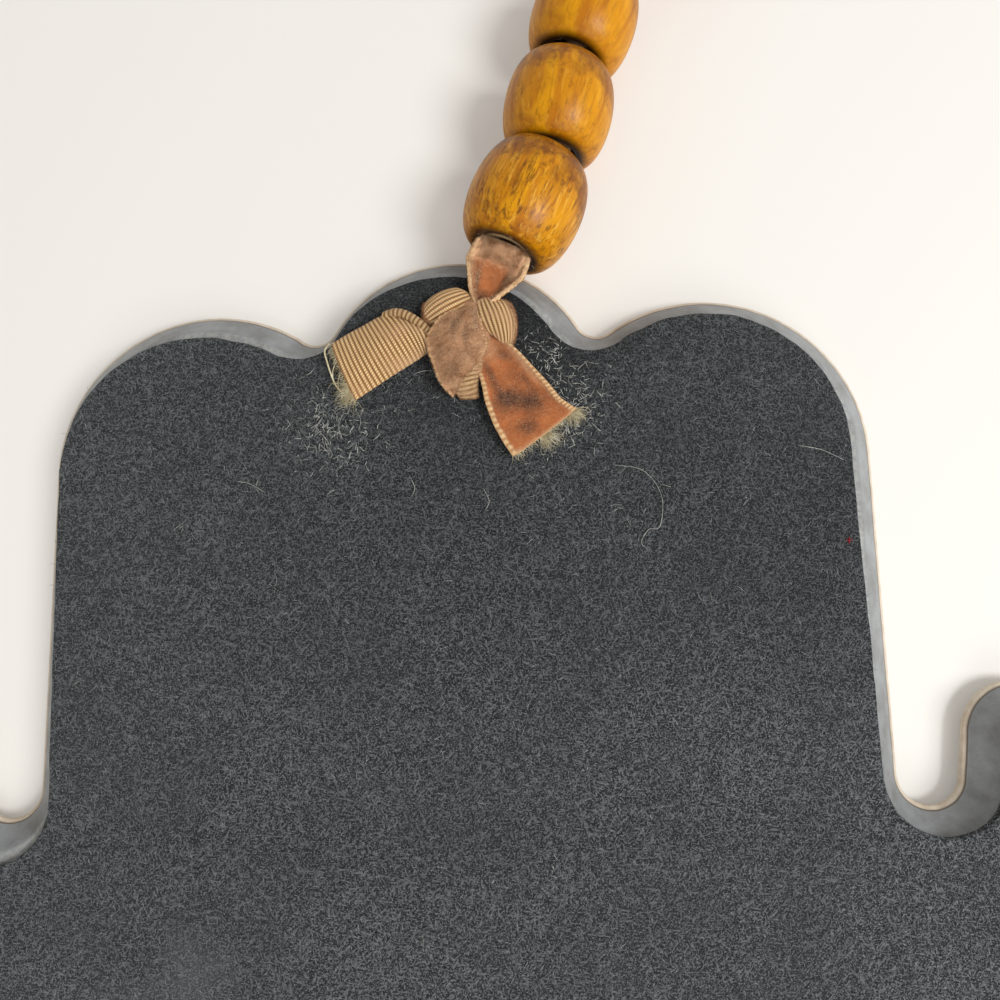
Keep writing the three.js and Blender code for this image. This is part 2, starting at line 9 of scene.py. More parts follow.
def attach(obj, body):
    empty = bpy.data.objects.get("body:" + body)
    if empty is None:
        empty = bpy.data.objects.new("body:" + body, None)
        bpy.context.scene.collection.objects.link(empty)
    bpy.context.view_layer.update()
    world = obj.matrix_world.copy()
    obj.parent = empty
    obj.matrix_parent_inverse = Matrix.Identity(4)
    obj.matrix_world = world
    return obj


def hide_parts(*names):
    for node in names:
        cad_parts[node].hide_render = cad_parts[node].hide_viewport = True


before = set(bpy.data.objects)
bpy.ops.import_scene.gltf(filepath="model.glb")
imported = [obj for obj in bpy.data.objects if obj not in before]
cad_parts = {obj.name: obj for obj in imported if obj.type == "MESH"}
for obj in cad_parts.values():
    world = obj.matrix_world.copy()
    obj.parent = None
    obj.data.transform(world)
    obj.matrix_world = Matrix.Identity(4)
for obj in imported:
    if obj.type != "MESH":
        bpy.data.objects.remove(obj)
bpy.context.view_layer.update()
scene = bpy.context.scene
mm = 0.001

# The frame's numbers, in mm: +Z out of the felt, +Y to the hanging loop
plaque = {
    "tipHeight": 100, "ground": 1.2, "back": 6.4, "feltBottom": 6.6, "feltTop": 7.6,
    "bevelInset": 3.8, "bevelFoot": 2.8, "lip": 0.5, "rimRound": 1.1,
    "hole": (1.5, 85), "holeRadius": 3.25,
    "middleTip": (0, 77.5, 22.5), "sideTip": (38.4, 67.4, 24.8), "notchRadius": 3.3,
    "valley": (67.7, 20, 4.5), "thumb": (81, 25, 8), "palmSide": 135, "wrist": (0, -76, 32),
    "knot": (2.15, 85.65),
}

ribbon = {  # its cloth in mm, and across it, where 1 is its edge, where its ribs end and its selvedge is
    "width": 10, "pitch": 0.7, "ribHeight": 0.12, "stitch": 0.75, "edgeRise": 0.05, "pileRise": 0.03,
    "pileSize": 1.1, "edgeThins": 0.75, "ribsEnd": 0.84, "ribsFade": 0.08, "edgeAt": 0.91,
    "edgeReach": 0.06,
}


def fromKnot(x, y, rise):  # from the middle of the knot's heart, and up from the felt
    return (plaque["knot"][0] + x, plaque["knot"][1] + y, plaque["feltTop"] + rise)


# Camera first: fitted to the fingertips' outline
cameraView = {
    "place": (9.71, 47.42, 117.27), "right": (0.99931, -0.02239, -0.03125),
    "up": (0.02597, 0.99227, 0.12148), "back": (0.02832, -0.12222, 0.99208), "lens": 27, "sensor": 36,
}


def placeCamera(view):
    data = bpy.data.cameras.new("camera")
    data.lens, data.sensor_width = view["lens"], view["sensor"]
    data.clip_start, data.clip_end = 0.005, 20
    camera = bpy.data.objects.new("camera", data)
    scene.collection.objects.link(camera)
    turn = Matrix([view["right"], view["up"], view["back"]]).transposed()
    camera.matrix_world = Matrix.Translation(Vector(view["place"]) * mm) @ turn.to_4x4()
    scene.camera = camera


placeCamera(cameraView)
print("camera placed")


def makePiece(name, points, faces, materials, body, maps=None, paint=None, heal=False):
    # points in mm, faces as arrays of three or four columns, maps as named pairs of values at the
    # points, paint as each face's material
    mesh = bpy.data.meshes.new(name)
    points = np.asarray(points, dtype=np.float32).reshape(-1, 3) * mm
    sides = np.concatenate([np.full(len(f), f.shape[1]) for f in faces])
    corners = np.concatenate([f.ravel() for f in faces]).astype(np.int32)
    mesh.vertices.add(len(points))
    mesh.vertices.foreach_set("co", points.ravel())
    mesh.loops.add(len(corners))
    mesh.loops.foreach_set("vertex_index", corners)
    mesh.polygons.add(len(sides))
    starts = np.concatenate([[0], np.cumsum(sides)[:-1]])
    mesh.polygons.foreach_set("loop_start", starts.astype(np.int32))
    if paint is not None:
        mesh.polygons.foreach_set("material_index", np.asarray(paint, dtype=np.int32))
    mesh.update(calc_edges=True)
    for label, values in (maps or {}).items():
        layer = mesh.uv_layers.new(name=label)
        layer.uv.foreach_set("vector", np.asarray(values, dtype=np.float32)[corners].ravel())
    if heal:
        work = bmesh.new()
        work.from_mesh(mesh)
        bmesh.ops.remove_doubles(work, verts=work.verts, dist=1e-7)
        bmesh.ops.recalc_face_normals(work, faces=work.faces)
        work.to_mesh(mesh)
        work.free()
    mesh.shade_smooth()
    piece = bpy.data.objects.new(name, mesh)
    scene.collection.objects.link(piece)
    for material in materials:
        mesh.materials.append(material)
    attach(piece, body)
    return piece


def gridFaces(rows, columns, looped=False):
    # quads over rows of points: each row is closed on itself, and the last row meets the first
    # where the grid is looped
    i, j = np.meshgrid(np.arange(rows if looped else rows - 1), np.arange(columns), indexing="ij")
    a, b = i * columns + j, i * columns + (j + 1) % columns
    return np.stack([a, b, b + columns, a + columns], -1).reshape(-1, 4) % (rows * columns)


def endFans(rows, columns):  # triangles that close both ends of such a grid
    k = np.arange(1, columns - 1)
    fan = np.stack([0 * k, k + 1, k], -1)
    return np.concatenate([fan, fan[:, ::-1] + (rows - 1) * columns])


def ringAround(side, other, count):  # count unit vectors all round, from two that stand square
    a = np.linspace(0, 2 * math.pi, count, endpoint=False)[:, None]
    return side[..., None, :] * np.cos(a) + other[..., None, :] * np.sin(a)


def smoothRows(rows, count):
    # Catmull-Rom through the rows: between two rows a cubic whose end slopes are half the step
    # from the row before to the row after
    rows = np.asarray(rows, dtype=float)
    padded = np.vstack([2 * rows[0] - rows[1], rows, 2 * rows[-1] - rows[-2]])
    t = np.linspace(0, len(rows) - 1, count)
    k = np.minimum(t.astype(int), len(rows) - 2)
    f = (t - k)[:, None]
    a, b, c, d = (padded[k + n] for n in range(4))
    cubic = (2 * a - 5 * b + 4 * c - d) * f**2 + (3 * b - a - 3 * c + d) * f**3
    return 0.5 * (2 * b + (c - a) * f + cubic)


def unit(v):
    return v / np.maximum(np.linalg.norm(v, axis=-1, keepdims=True), 1e-12)


def softNoise(points, size, seed, octaves=3):
    # a sum of sines in seeded directions: cheap smooth noise, about -1 to 1
    random = np.random.default_rng(seed)
    total, weight = np.zeros(points.shape[:-1]), 0
    for octave in range(octaves):
        waves = random.normal(size=(7, 3))
        phase = random.uniform(0, 2 * math.pi, 7)
        scale = 2**octave * 2 * math.pi / size / 2.2
        share = 0.55**octave
        total += share * np.sin(points @ waves.T * scale + phase).mean(-1) * 1.8
        weight += share
    return total / weight


def doubledSection(u, half, thick, fold):
    # The ribbon laid double: flat on top for a = half - fold - thick / 2 each way, half a turn of
    # radius fold at each edge, and flat again underneath until both selvedges nearly meet
    s, a = np.abs(u) * ribbon["width"] / 2, half - fold - thick / 2
    theta = np.clip((s - a) / fold, 0, math.pi)
    x = np.minimum(s, a) + fold * np.sin(theta) - np.maximum(s - a - math.pi * fold, 0)
    return x * np.sign(u), fold * np.cos(theta), theta * np.sign(u)


def softSpots(spots, u, t):
    # a sum of soft round spots, each given as (u, t, reach across, reach along, strength)
    total = np.zeros(np.broadcast(u, t).shape)
    for middleU, middleT, reachU, reachT, strength in spots:
        total += strength * np.exp(-(((u - middleU) / reachU) ** 2) - ((t - middleT) / reachT) ** 2)
    return total


def ribbonSection(shape):
    # A band along a smooth line. With half width w, bend k and u from -1 to 1 across it, a point is
    # line + across * w * sin(k u) / k + up * w * (1 - cos(k u)) / k, so the band keeps its cut width
    # as it curls; the faces stand half a thickness off that, with their ribs and selvedges on top.
    rows = smoothRows(shape["stations"], shape["rows"])
    line, across = rows[:, :3], unit(rows[:, 3:6])
    tangent = unit(np.gradient(line, axis=0))
    up = unit(np.cross(across, tangent))
    if "up" in shape:
        up *= np.sign((up * np.asarray(shape["up"])).sum(-1, keepdims=True))
    steps = np.linalg.norm(np.diff(line, axis=0), axis=1)
    length = np.concatenate([[0], np.cumsum(steps)])
    u = np.linspace(-1, 1, shape["cells"] + 1)[None, :]
    half, thick, bend = rows[:, 6:7] / 2, rows[:, 7:8], np.radians(rows[:, 8:9])
    if shape.get("doubled"):
        x, y, lean = doubledSection(u, half, thick, shape["doubled"])
        half = np.full_like(half, ribbon["width"] / 2)
    else:
        bend = np.where(np.abs(bend) < 1e-3, 1e-3, bend)
        x, y, lean = half * np.sin(bend * u) / bend, half * (1 - np.cos(bend * u)) / bend, -bend * u
    normal = up[:, None] * np.cos(lean)[..., None] + across[:, None] * np.sin(lean)[..., None]
    middle = line[:, None] + across[:, None] * x[..., None] + up[:, None] * y[..., None]
    if "crumple" in shape:
        height, size, seed = shape["crumple"]
        middle = middle + normal * (softNoise(middle, size, seed) * height)[..., None]
    edge = 1 - ribbon["edgeThins"] * np.abs(u) ** 8
    s = np.repeat(length[:, None], u.shape[1], axis=1)
    rib = np.abs(np.cos(math.pi * s / shape.get("pitch", ribbon["pitch"]))) ** 0.8
    rib = rib * (1 - np.clip((np.abs(u) - ribbon["ribsEnd"]) / ribbon["ribsFade"], 0, 1))
    dash = shape.get("dash", 0.4)
    dashes = 1 - dash + dash * np.cos(2 * math.pi * s / ribbon["stitch"])
    selvedge = np.exp(-(((np.abs(u) - ribbon["edgeAt"]) / ribbon["edgeReach"]) ** 2)) * dashes
    ribbed = shape.get("ribHeight", ribbon["ribHeight"]) * rib + ribbon["edgeRise"] * selvedge
    pile = softNoise(middle, ribbon["pileSize"], 5)
    velvet = shape.get("selvedge", 0.1) * selvedge + ribbon["pileRise"] * pile
    relief = {"ribbed": ribbed, "velvet": velvet}
    top = middle + normal * (thick / 2 * edge + relief[shape["top"]])[..., None]
    bottom = middle - normal * (thick / 2 * edge + relief[shape["bottom"]])[..., None]
    t = (length / length[-1])[:, None]
    lie = np.stack([np.broadcast_to(u / 2 + 0.5, s.shape), s / ribbon["width"]], -1)
    # the tone map: painted sheen, then brushed pile with painted shade
    tone = np.stack([softSpots(shape.get(key, ()), u, t) for key in ("paintedSheen", "brushedAndShaded")], -1)
    return {"top": top, "bottom": bottom, "normal": normal, "lie": lie, "tone": tone, "line": line,
            "length": length[-1], "tangent": tangent, "cut": (rows[:, 6].mean(), length[-1])}


def ribbonSkin(shape, band):
    # both faces of the band as one closed skin: across the top, then back across the bottom
    rows, columns = band["top"].shape[:2]
    sources = {"points": ("top", "bottom"), "lie": ("lie", "lie"), "tone": ("tone", "tone")}
    both = {key: np.concatenate([band[a], band[b][:, ::-1]], 1).reshape(rows * 2 * columns, -1)
            for key, (a, b) in sources.items()}
    sides = gridFaces(rows, 2 * columns)
    cell = sides[:, 0] % (2 * columns)
    looks = {"ribbed": 0, "velvet": 1}
    paint = np.where(cell < columns - 1, looks[shape["top"]], looks[shape["bottom"]])
    j = np.arange(columns - 1)
    start = np.stack([j, j + 1, 2 * columns - 2 - j, 2 * columns - 1 - j], -1)
    end = start[:, ::-1] + (rows - 1) * 2 * columns
    faces = np.concatenate([sides, start, end])
    return {**both, "faces": faces, "paint": np.concatenate([paint, np.zeros(2 * len(j), dtype=int)])}


def joinSkins(skins):
    base = np.cumsum([0] + [len(skin["points"]) for skin in skins])
    joined = {key: np.concatenate([skin[key] for skin in skins]) for key in skins[0]}
    return {**joined, "faces": np.concatenate([skin["faces"] + b for skin, b in zip(skins, base)])}


def makeRibbon(name, skin, velvet, body):
    return makePiece(name, skin["points"], [skin["faces"]], [ribbedCloth, velvet], body,
                     {"lie": skin["lie"], "tone": skin["tone"]}, skin["paint"], True)


def strands(roots, directions, length, radius, bend, seed, rings=4, droop=0.0, floor=None):
    # Three-sided fibres: each runs from its root along its direction and curves off sideways,
    # offset = bend * length * t^2, thinning to a point at t = 1
    random = np.random.default_rng(seed)
    count = len(roots)
    directions = unit(directions)
    side = unit(np.cross(directions, random.normal(size=(count, 3))))
    other = np.cross(directions, side)
    t = np.linspace(0, 1, rings)[None, :, None]
    length = np.broadcast_to(length, (count,))[:, None, None]
    bend = np.broadcast_to(bend, (count,))[:, None, None]
    line = roots[:, None] + directions[:, None] * length * t + side[:, None] * bend * length * t**2
    line = line + other[:, None] * bend * length * 0.6 * np.sin(3.5 * t * t)
    line[..., 2] -= droop * (length * t**2)[..., 0]
    if floor is not None:
        line[..., 2] = np.maximum(line[..., 2], floor)
    thin = np.broadcast_to(radius, (count,))[:, None, None, None] * (1 - 0.75 * t[..., None] ** 2)
    points = line[:, :, None] + ringAround(side, other, 3)[:, None] * thin
    first = (np.arange(count) * rings * 3)[:, None, None]
    quads = gridFaces(rings, 3)[None] + first
    root = np.array([[0, 2, 1]])[None] + first
    tip = np.array([[0, 1, 2]])[None] + first + (rings - 1) * 3
    return points.reshape(-1, 3), [quads.reshape(-1, 4), np.concatenate([root, tip]).reshape(-1, 3)]


def pickOn(grid, normal, count, seed, low=(0, 0), high=(1, 1)):
    # places spread over a grid of points, between two corners given as shares of its rows and columns
    random = np.random.default_rng(seed)
    rows, columns = grid.shape[:2]
    a = random.uniform(low[0], high[0], count) * (rows - 1.001)
    b = random.uniform(low[1], high[1], count) * (columns - 1.001)
    i, j = a.astype(int), b.astype(int)
    f, g = (a - i)[:, None], (b - j)[:, None]
    corners = (((i, j), (1 - f) * (1 - g)), ((i + 1, j), f * (1 - g)),
               ((i, j + 1), (1 - f) * g), ((i + 1, j + 1), f * g))
    place = sum(grid[at] * share for at, share in corners)
    return place, unit(sum(normal[at] * share for at, share in corners)), random


def threadSkin(path, radius, count=40, sides=6):
    # a thin round thread along a smooth path: rings of the radius about it, closed at both ends
    line = smoothRows(path, count)
    tangent = unit(np.gradient(line, axis=0))
    side = unit(np.cross(tangent, (0.31, 0.17, 0.93)))
    other = np.cross(tangent, side)
    thin = radius * (1 - 0.6 * np.linspace(-1, 1, count) ** 6)[:, None, None]
    points = line[:, None] + ringAround(side, other, sides) * thin
    return points.reshape(-1, 3), [gridFaces(count, sides), endFans(count, sides)]


def joinPieces(parts):
    quads, triangles, base = [], [], 0
    for points, faces in parts:
        for f in faces:
            (quads if f.shape[1] == 4 else triangles).append(f + base)
        base += len(points)
    points = np.concatenate([points for points, _ in parts])
    return points, [np.concatenate(quads), np.concatenate(triangles)]


def tint(red, green, blue):  # a colour as the eye sees it, 0 to 255, to what the shader adds up
    c = np.array([red, green, blue]) / 255
    return (*np.where(c <= 0.04045, c / 12.92, ((c + 0.055) / 1.055) ** 2.4), 1.0)


class Nodes:  # short hand for filling a node tree
    def __init__(self, tree):
        self.tree = tree

    def add(self, kind, settings=None, **inputs):
        node = self.tree.nodes.new(kind)
        for key, value in (settings or {}).items():
            setattr(node, key, value)
        for key, value in inputs.items():
            numbered = key[0] == "i" and key[1:].isdigit()
            socket = node.inputs[int(key[1:]) if numbered else key.replace("_", " ")]
            if isinstance(value, bpy.types.NodeSocket):
                self.tree.links.new(value, socket)
            else:
                socket.default_value = value
        return node

    def math(self, operation, a, b=0.0):
        return self.add("ShaderNodeMath", {"operation": operation}, i0=a, i1=b).outputs[0]

    def times(self, a, b):
        return self.math("MULTIPLY", a, b)

    def plus(self, a, b):
        return self.math("ADD", a, b)

    def minus(self, a, b):
        return self.math("SUBTRACT", a, b)

    def mix(self, factor, a, b):
        return self.add("ShaderNodeMix", {"data_type": "RGBA"}, i0=factor, i6=a, i7=b).outputs[2]

    def over(self, shade, colour, mask, share):  # the colour laid over the shade by a share of the mask
        return self.mix(self.times(mask, share), shade, colour)

    def split(self, vector):
        return self.add("ShaderNodeSeparateXYZ", None, Vector=vector).outputs

    def ownMap(self, name):
        return self.add("ShaderNodeUVMap", {"uv_map": name}).outputs[0]

    def away(self, place, point):  # how far a place is from a point given in mm
        return self.add("ShaderNodeVectorMath", {"operation": "DISTANCE"}, i0=place,
                        i1=[c * mm for c in point]).outputs["Value"]

    def feed(self, value, node, label):
        self.tree.links.new(value, node.inputs[label])

    def noise(self, place, scale, detail=4.0, rough=0.6, warp=0.0):
        node = self.add("ShaderNodeTexNoise", None, Vector=place, Scale=scale, Detail=detail,
                        Roughness=rough, Distortion=warp)
        return node.outputs["Fac"]

    def spots(self, place, scale, low, high, *rest):  # a mask of the noise, from low to high
        return self.between(self.noise(place, scale, *rest), low, high)

    def between(self, value, low, high):
        node = self.add("ShaderNodeMapRange", {"clamp": True}, Value=value)
        node.inputs["From Min"].default_value, node.inputs["From Max"].default_value = low, high
        return node.outputs[0]


def newGroup(name, inputs, outputs):
    tree = bpy.data.node_groups.new(name, "ShaderNodeTree")
    for label, kind, value in inputs:
        socket = tree.interface.new_socket(label, in_out="INPUT", socket_type=kind)
        if value is not None:
            socket.default_value = value
    for label, kind in outputs:
        tree.interface.new_socket(label, in_out="OUTPUT", socket_type=kind)
    return tree, Nodes(tree), tree.nodes.new("NodeGroupInput"), tree.nodes.new("NodeGroupOutput")


def makePileGroup():  # short fibres: broad patches, fine specks and a height for bump
    tree, n, given, out = newGroup(
        "pile", [("Place", "NodeSocketVector", None), ("Patch Scale", "NodeSocketFloat", 300.0),
                 ("Speck Scale", "NodeSocketFloat", 4000.0)],
        [("Patch", "NodeSocketFloat"), ("Speck", "NodeSocketFloat"), ("Height", "NodeSocketFloat")])
    patch = n.noise(given.outputs["Place"], given.outputs["Patch Scale"], 3.0, 0.55, 0.4)
    speck = n.noise(given.outputs["Place"], given.outputs["Speck Scale"], 3.0, 0.7, 0.6)
    fine = n.noise(given.outputs["Place"], n.times(given.outputs["Speck Scale"], 2.3), 2.0, 0.6)
    n.feed(n.between(patch, 0.32, 0.68), out, "Patch")
    n.feed(n.between(speck, 0.35, 0.7), out, "Speck")
    n.feed(n.plus(speck, n.times(fine, 0.5)), out, "Height")
    return tree


def makeCrossGroup():  # short crossing fibres: noise drawn out in three directions, its crests kept
    tree, n, given, out = newGroup("crossed_fibres", [("Place", "NodeSocketVector", None),
                                                      ("Scale", "NodeSocketFloat", 3000.0)],
                                   [("Fibre", "NodeSocketFloat")])
    found = None
    for turn in (0.35, 1.4, 2.45):
        drawn = n.add("ShaderNodeMapping", {"vector_type": "TEXTURE"}, Vector=given.outputs["Place"],
                      Rotation=(0, 0, turn), Location=(turn * 0.01, 0, 0), Scale=(1, 4, 1)).outputs[0]
        crest = n.spots(drawn, given.outputs["Scale"], 0.58, 0.7, 1.0, 0.5, 0.2)
        found = crest if found is None else n.math("MAXIMUM", found, crest)
    n.feed(found, out, "Fibre")
    return tree


def makeRibGroup():  # cords across the ribbon, each wound round by its threads, on the ribbon's own map
    tree, n, given, out = newGroup(
        "ribs", [("Place", "NodeSocketVector", None), ("Pitch", "NodeSocketFloat", 0.07)],
        [("Crown", "NodeSocketFloat"), ("Thread", "NodeSocketFloat"), ("Height", "NodeSocketFloat")])
    parts = n.split(given.outputs["Place"])
    cycle = n.math("DIVIDE", parts[1], given.outputs["Pitch"])
    crown = n.math("ABSOLUTE", n.math("COSINE", n.times(cycle, math.pi)))
    lean = n.plus(n.times(parts[0], 25.0), n.times(cycle, 0.5))
    thread = n.math("ABSOLUTE", n.math("SINE", n.times(lean, math.pi)))
    n.feed(crown, out, "Crown")
    n.feed(thread, out, "Thread")
    n.feed(n.plus(crown, n.times(thread, 0.7)), out, "Height")
    return tree


groups = {"pile": makePileGroup(), "ribs": makeRibGroup(), "crossed": makeCrossGroup()}


def newMaterial(name, **values):
    material = bpy.data.materials.new(name)
    material.use_nodes = True
    n = Nodes(material.node_tree)
    shader = material.node_tree.nodes["Principled BSDF"]
    for key, value in values.items():
        shader.inputs[key.replace("_", " ")].default_value = value
    return material, n, shader


def useGroup(n, name, **inputs):
    return n.add("ShaderNodeGroup", {"node_tree": groups[name]}, **inputs)


def objectPlace(n):
    return n.add("ShaderNodeTexCoord").outputs["Object"]


def bump(n, shader, height, distance, strength=1.0):
    node = n.add("ShaderNodeBump", None, Height=height, Distance=distance, Strength=strength)
    n.feed(node.outputs[0], shader, "Normal")


def spotOn(n, shade, place, reach, colour):  # a small ragged mark at a place, reach in mm
    where = objectPlace(n)
    away = n.plus(n.away(where, place), n.times(n.noise(where, 1400.0, 2.0), reach * mm))
    return n.over(shade, colour, n.between(away, 1.6 * reach * mm, 0.8 * reach * mm), 0.8)


def paintMaterial(look):
    # grey paint on the bevel, a pale painted highlight along its back edge, a brown line at its foot and
    # cream below it, by height
    material, n, shader = newMaterial("bevel_paint", Roughness=look["rough"], Metallic=0.0)
    place = objectPlace(n)
    wobble = n.times(n.minus(n.noise(place, 180.0, 2.0), 0.5), look["wobble"] * mm)
    height = n.plus(n.split(place)[2], wobble)
    pores = n.noise(place, 2600.0, 3.0, 0.65)
    shade = n.mix(n.spots(place, 240.0, 0.35, 0.7, 4.0), look["grey"], look["greyDark"])
    sparkle = n.spots(place, 9000.0, 0.66, 0.74, 1.0, 0.5)
    shade = n.over(shade, look["sparkle"], sparkle, 0.35)
    # a broken pale line at the top of the bevel: a painted highlight where it rounds over to the back
    top = n.between(height, (look["backEdge"] - 0.2) * mm, look["backEdge"] * mm)
    broken = n.spots(place, 1500.0, 0.42, 0.6, 3.0)
    shade = n.over(shade, look["edge"], top, n.times(broken, 0.35))
    shade = spotOn(n, shade, look["nick"], 0.7, look["brown"])
    line = n.between(height, look["lineTop"] * mm, (look["lineTop"] - 0.12) * mm)
    shade = n.mix(line, shade, look["brown"])
    cream = n.mix(n.spots(place, 400.0, 0.4, 0.75, 3.0), look["cream"], look["creamDark"])
    low = n.between(height, look["creamTop"] * mm, (look["creamTop"] - 0.15) * mm)
    shade = n.mix(low, shade, cream)
    n.feed(shade, shader, "Base Color")
    rough = n.plus(look["rough"] - 0.08, n.times(pores, 0.2))
    n.feed(rough, shader, "Roughness")
    bump(n, shader, n.plus(pores, n.noise(place, 700.0, 2.0)), 0.05 * mm, 0.8)
    return material


def feltMaterial(look):
    material, n, shader = newMaterial("felt", Roughness=1.0, Specular_IOR_Level=0.1, Sheen_Weight=0.1,
                                      Sheen_Roughness=0.6)
    place = objectPlace(n)
    pile = useGroup(n, "pile", Place=place, Patch_Scale=70.0, Speck_Scale=2500.0)
    crossed = useGroup(n, "crossed", Place=place, Scale=4000.0)
    shade = n.mix(pile.outputs["Speck"], look["deep"], look["mid"])
    glint = n.spots(place, 4200.0, 0.52, 0.68, 1.0, 0.5)
    shade = n.over(shade, look["tips"], glint, 0.75)
    shade = n.over(shade, look["tips"], crossed.outputs["Fibre"], 0.55)
    shade = n.over(shade, look["patch"], pile.outputs["Patch"], 0.3)
    uneven = n.times(n.noise(place, 120.0, 3.0), 14 * mm)
    # the darker marks are painted shade round the knot and on the right; the pale ones are scuffs
    for x, y, reach, full, share, colour in look["shadedAndScuffed"]:
        away = n.plus(n.away(place, (x, y, plaque["feltTop"])), uneven)
        near = n.between(away, reach * mm, full * mm)
        shade = n.over(shade, look[colour], near, share)
    n.feed(shade, shader, "Base Color")
    height = n.plus(pile.outputs["Height"], n.times(crossed.outputs["Fibre"], 0.5))
    bump(n, shader, height, 0.3 * mm, 1.0)
    return material


def velvetMaterial(name, look):
    # rust pile, tan as painted sheen where it stands on edge or rolls, dark where it is brushed down and
    # as painted shade in its creases; the map "tone" holds both, broken up by noise, and the selvedge
    # runs in light stitches along both edges
    material, n, shader = newMaterial(name, Roughness=0.9, Specular_IOR_Level=0.12, Sheen_Weight=0.16,
                                      Sheen_Roughness=0.4, Sheen_Tint=look["sheen"])
    lie = n.ownMap("lie")
    tone = n.split(n.ownMap("tone"))
    solid = objectPlace(n)
    pile = useGroup(n, "pile", Place=solid, Patch_Scale=look["patches"], Speck_Scale=2600.0)
    ragged = n.times(n.minus(n.noise(solid, 1100.0, 4.0, 0.65), 0.5), look["ragged"])
    shade = n.over(look["rust"], look["dark"], pile.outputs["Patch"], look["mottle"])
    # dark: pile brushed down, and painted shade in creases and hollows
    brushedAndShaded = n.between(n.plus(tone[1], ragged), 0.2, 0.9)
    shade = n.mix(brushedAndShaded, shade, look["deep"])
    # tan: painted sheen where the pile stands on edge or rolls
    paintedSheen = n.between(n.plus(tone[0], ragged), 0.2, 0.8)
    shade = n.mix(paintedSheen, shade, look["tan"])
    shade = n.over(shade, look["tips"], pile.outputs["Speck"], look["specks"])
    x = n.split(lie)[0]
    off = n.math("ABSOLUTE", n.minus(x, 0.5))
    off = n.plus(off, n.times(ragged, 0.04))
    ribs = useGroup(n, "ribs", Place=lie, Pitch=ribbon["stitch"] / ribbon["width"])
    stitch = n.plus(ribs.outputs["Crown"], n.times(ragged, 1.2))
    edge = n.mix(n.between(stitch, 0.3, 1.0), look["edge"], look["stitch"])
    edge = n.over(edge, look["tan"], pile.outputs["Speck"], 0.5)
    shade = n.mix(n.between(off, look["edgeFrom"], look["edgeFrom"] + 0.03), shade, edge)
    n.feed(shade, shader, "Base Color")
    bump(n, shader, pile.outputs["Height"], 0.2 * mm, 0.9)
    return material


def ribbedMaterial(look):
    material, n, shader = newMaterial("ribbon_ribbed", Roughness=0.5, Specular_IOR_Level=0.4,
                                      Sheen_Weight=0.05)
    lie = n.ownMap("lie")
    ribs = useGroup(n, "ribs", Place=lie, Pitch=ribbon["pitch"] / ribbon["width"])
    pile = useGroup(n, "pile", Place=objectPlace(n), Patch_Scale=300.0, Speck_Scale=3000.0)
    dots = n.times(n.between(ribs.outputs["Crown"], 0.45, 0.95), ribs.outputs["Thread"])
    # pale crowns over dark grooves: painted highlight and painted shade of the ribs
    shade = n.mix(n.between(ribs.outputs["Crown"], 0.05, 0.55), look["grooveShade"], look["cord"])
    # pale dots where the threads cross the crowns: painted highlights
    shade = n.mix(n.between(dots, 0.2, 0.75), shade, look["thread"])
    shade = n.over(shade, look["stain"], pile.outputs["Patch"], 0.35)
    tone = n.split(n.ownMap("tone"))
    brown = n.plus(tone[1], n.minus(pile.outputs["Patch"], 0.5))
    shade = n.over(shade, look["fuzz"], n.between(brown, 0.1, 1.0), 0.6)
    n.feed(shade, shader, "Base Color")
    bump(n, shader, ribs.outputs["Height"], 0.12 * mm, 1.0)
    return material


def fibreMaterial(name, light, dark, rough=0.7):
    material, n, shader = newMaterial(name, Roughness=rough, Specular_IOR_Level=0.3)
    shade = n.mix(n.spots(objectPlace(n), 700.0, 0.35, 0.65, 2.0), light, dark)
    n.feed(shade, shader, "Base Color")
    return material


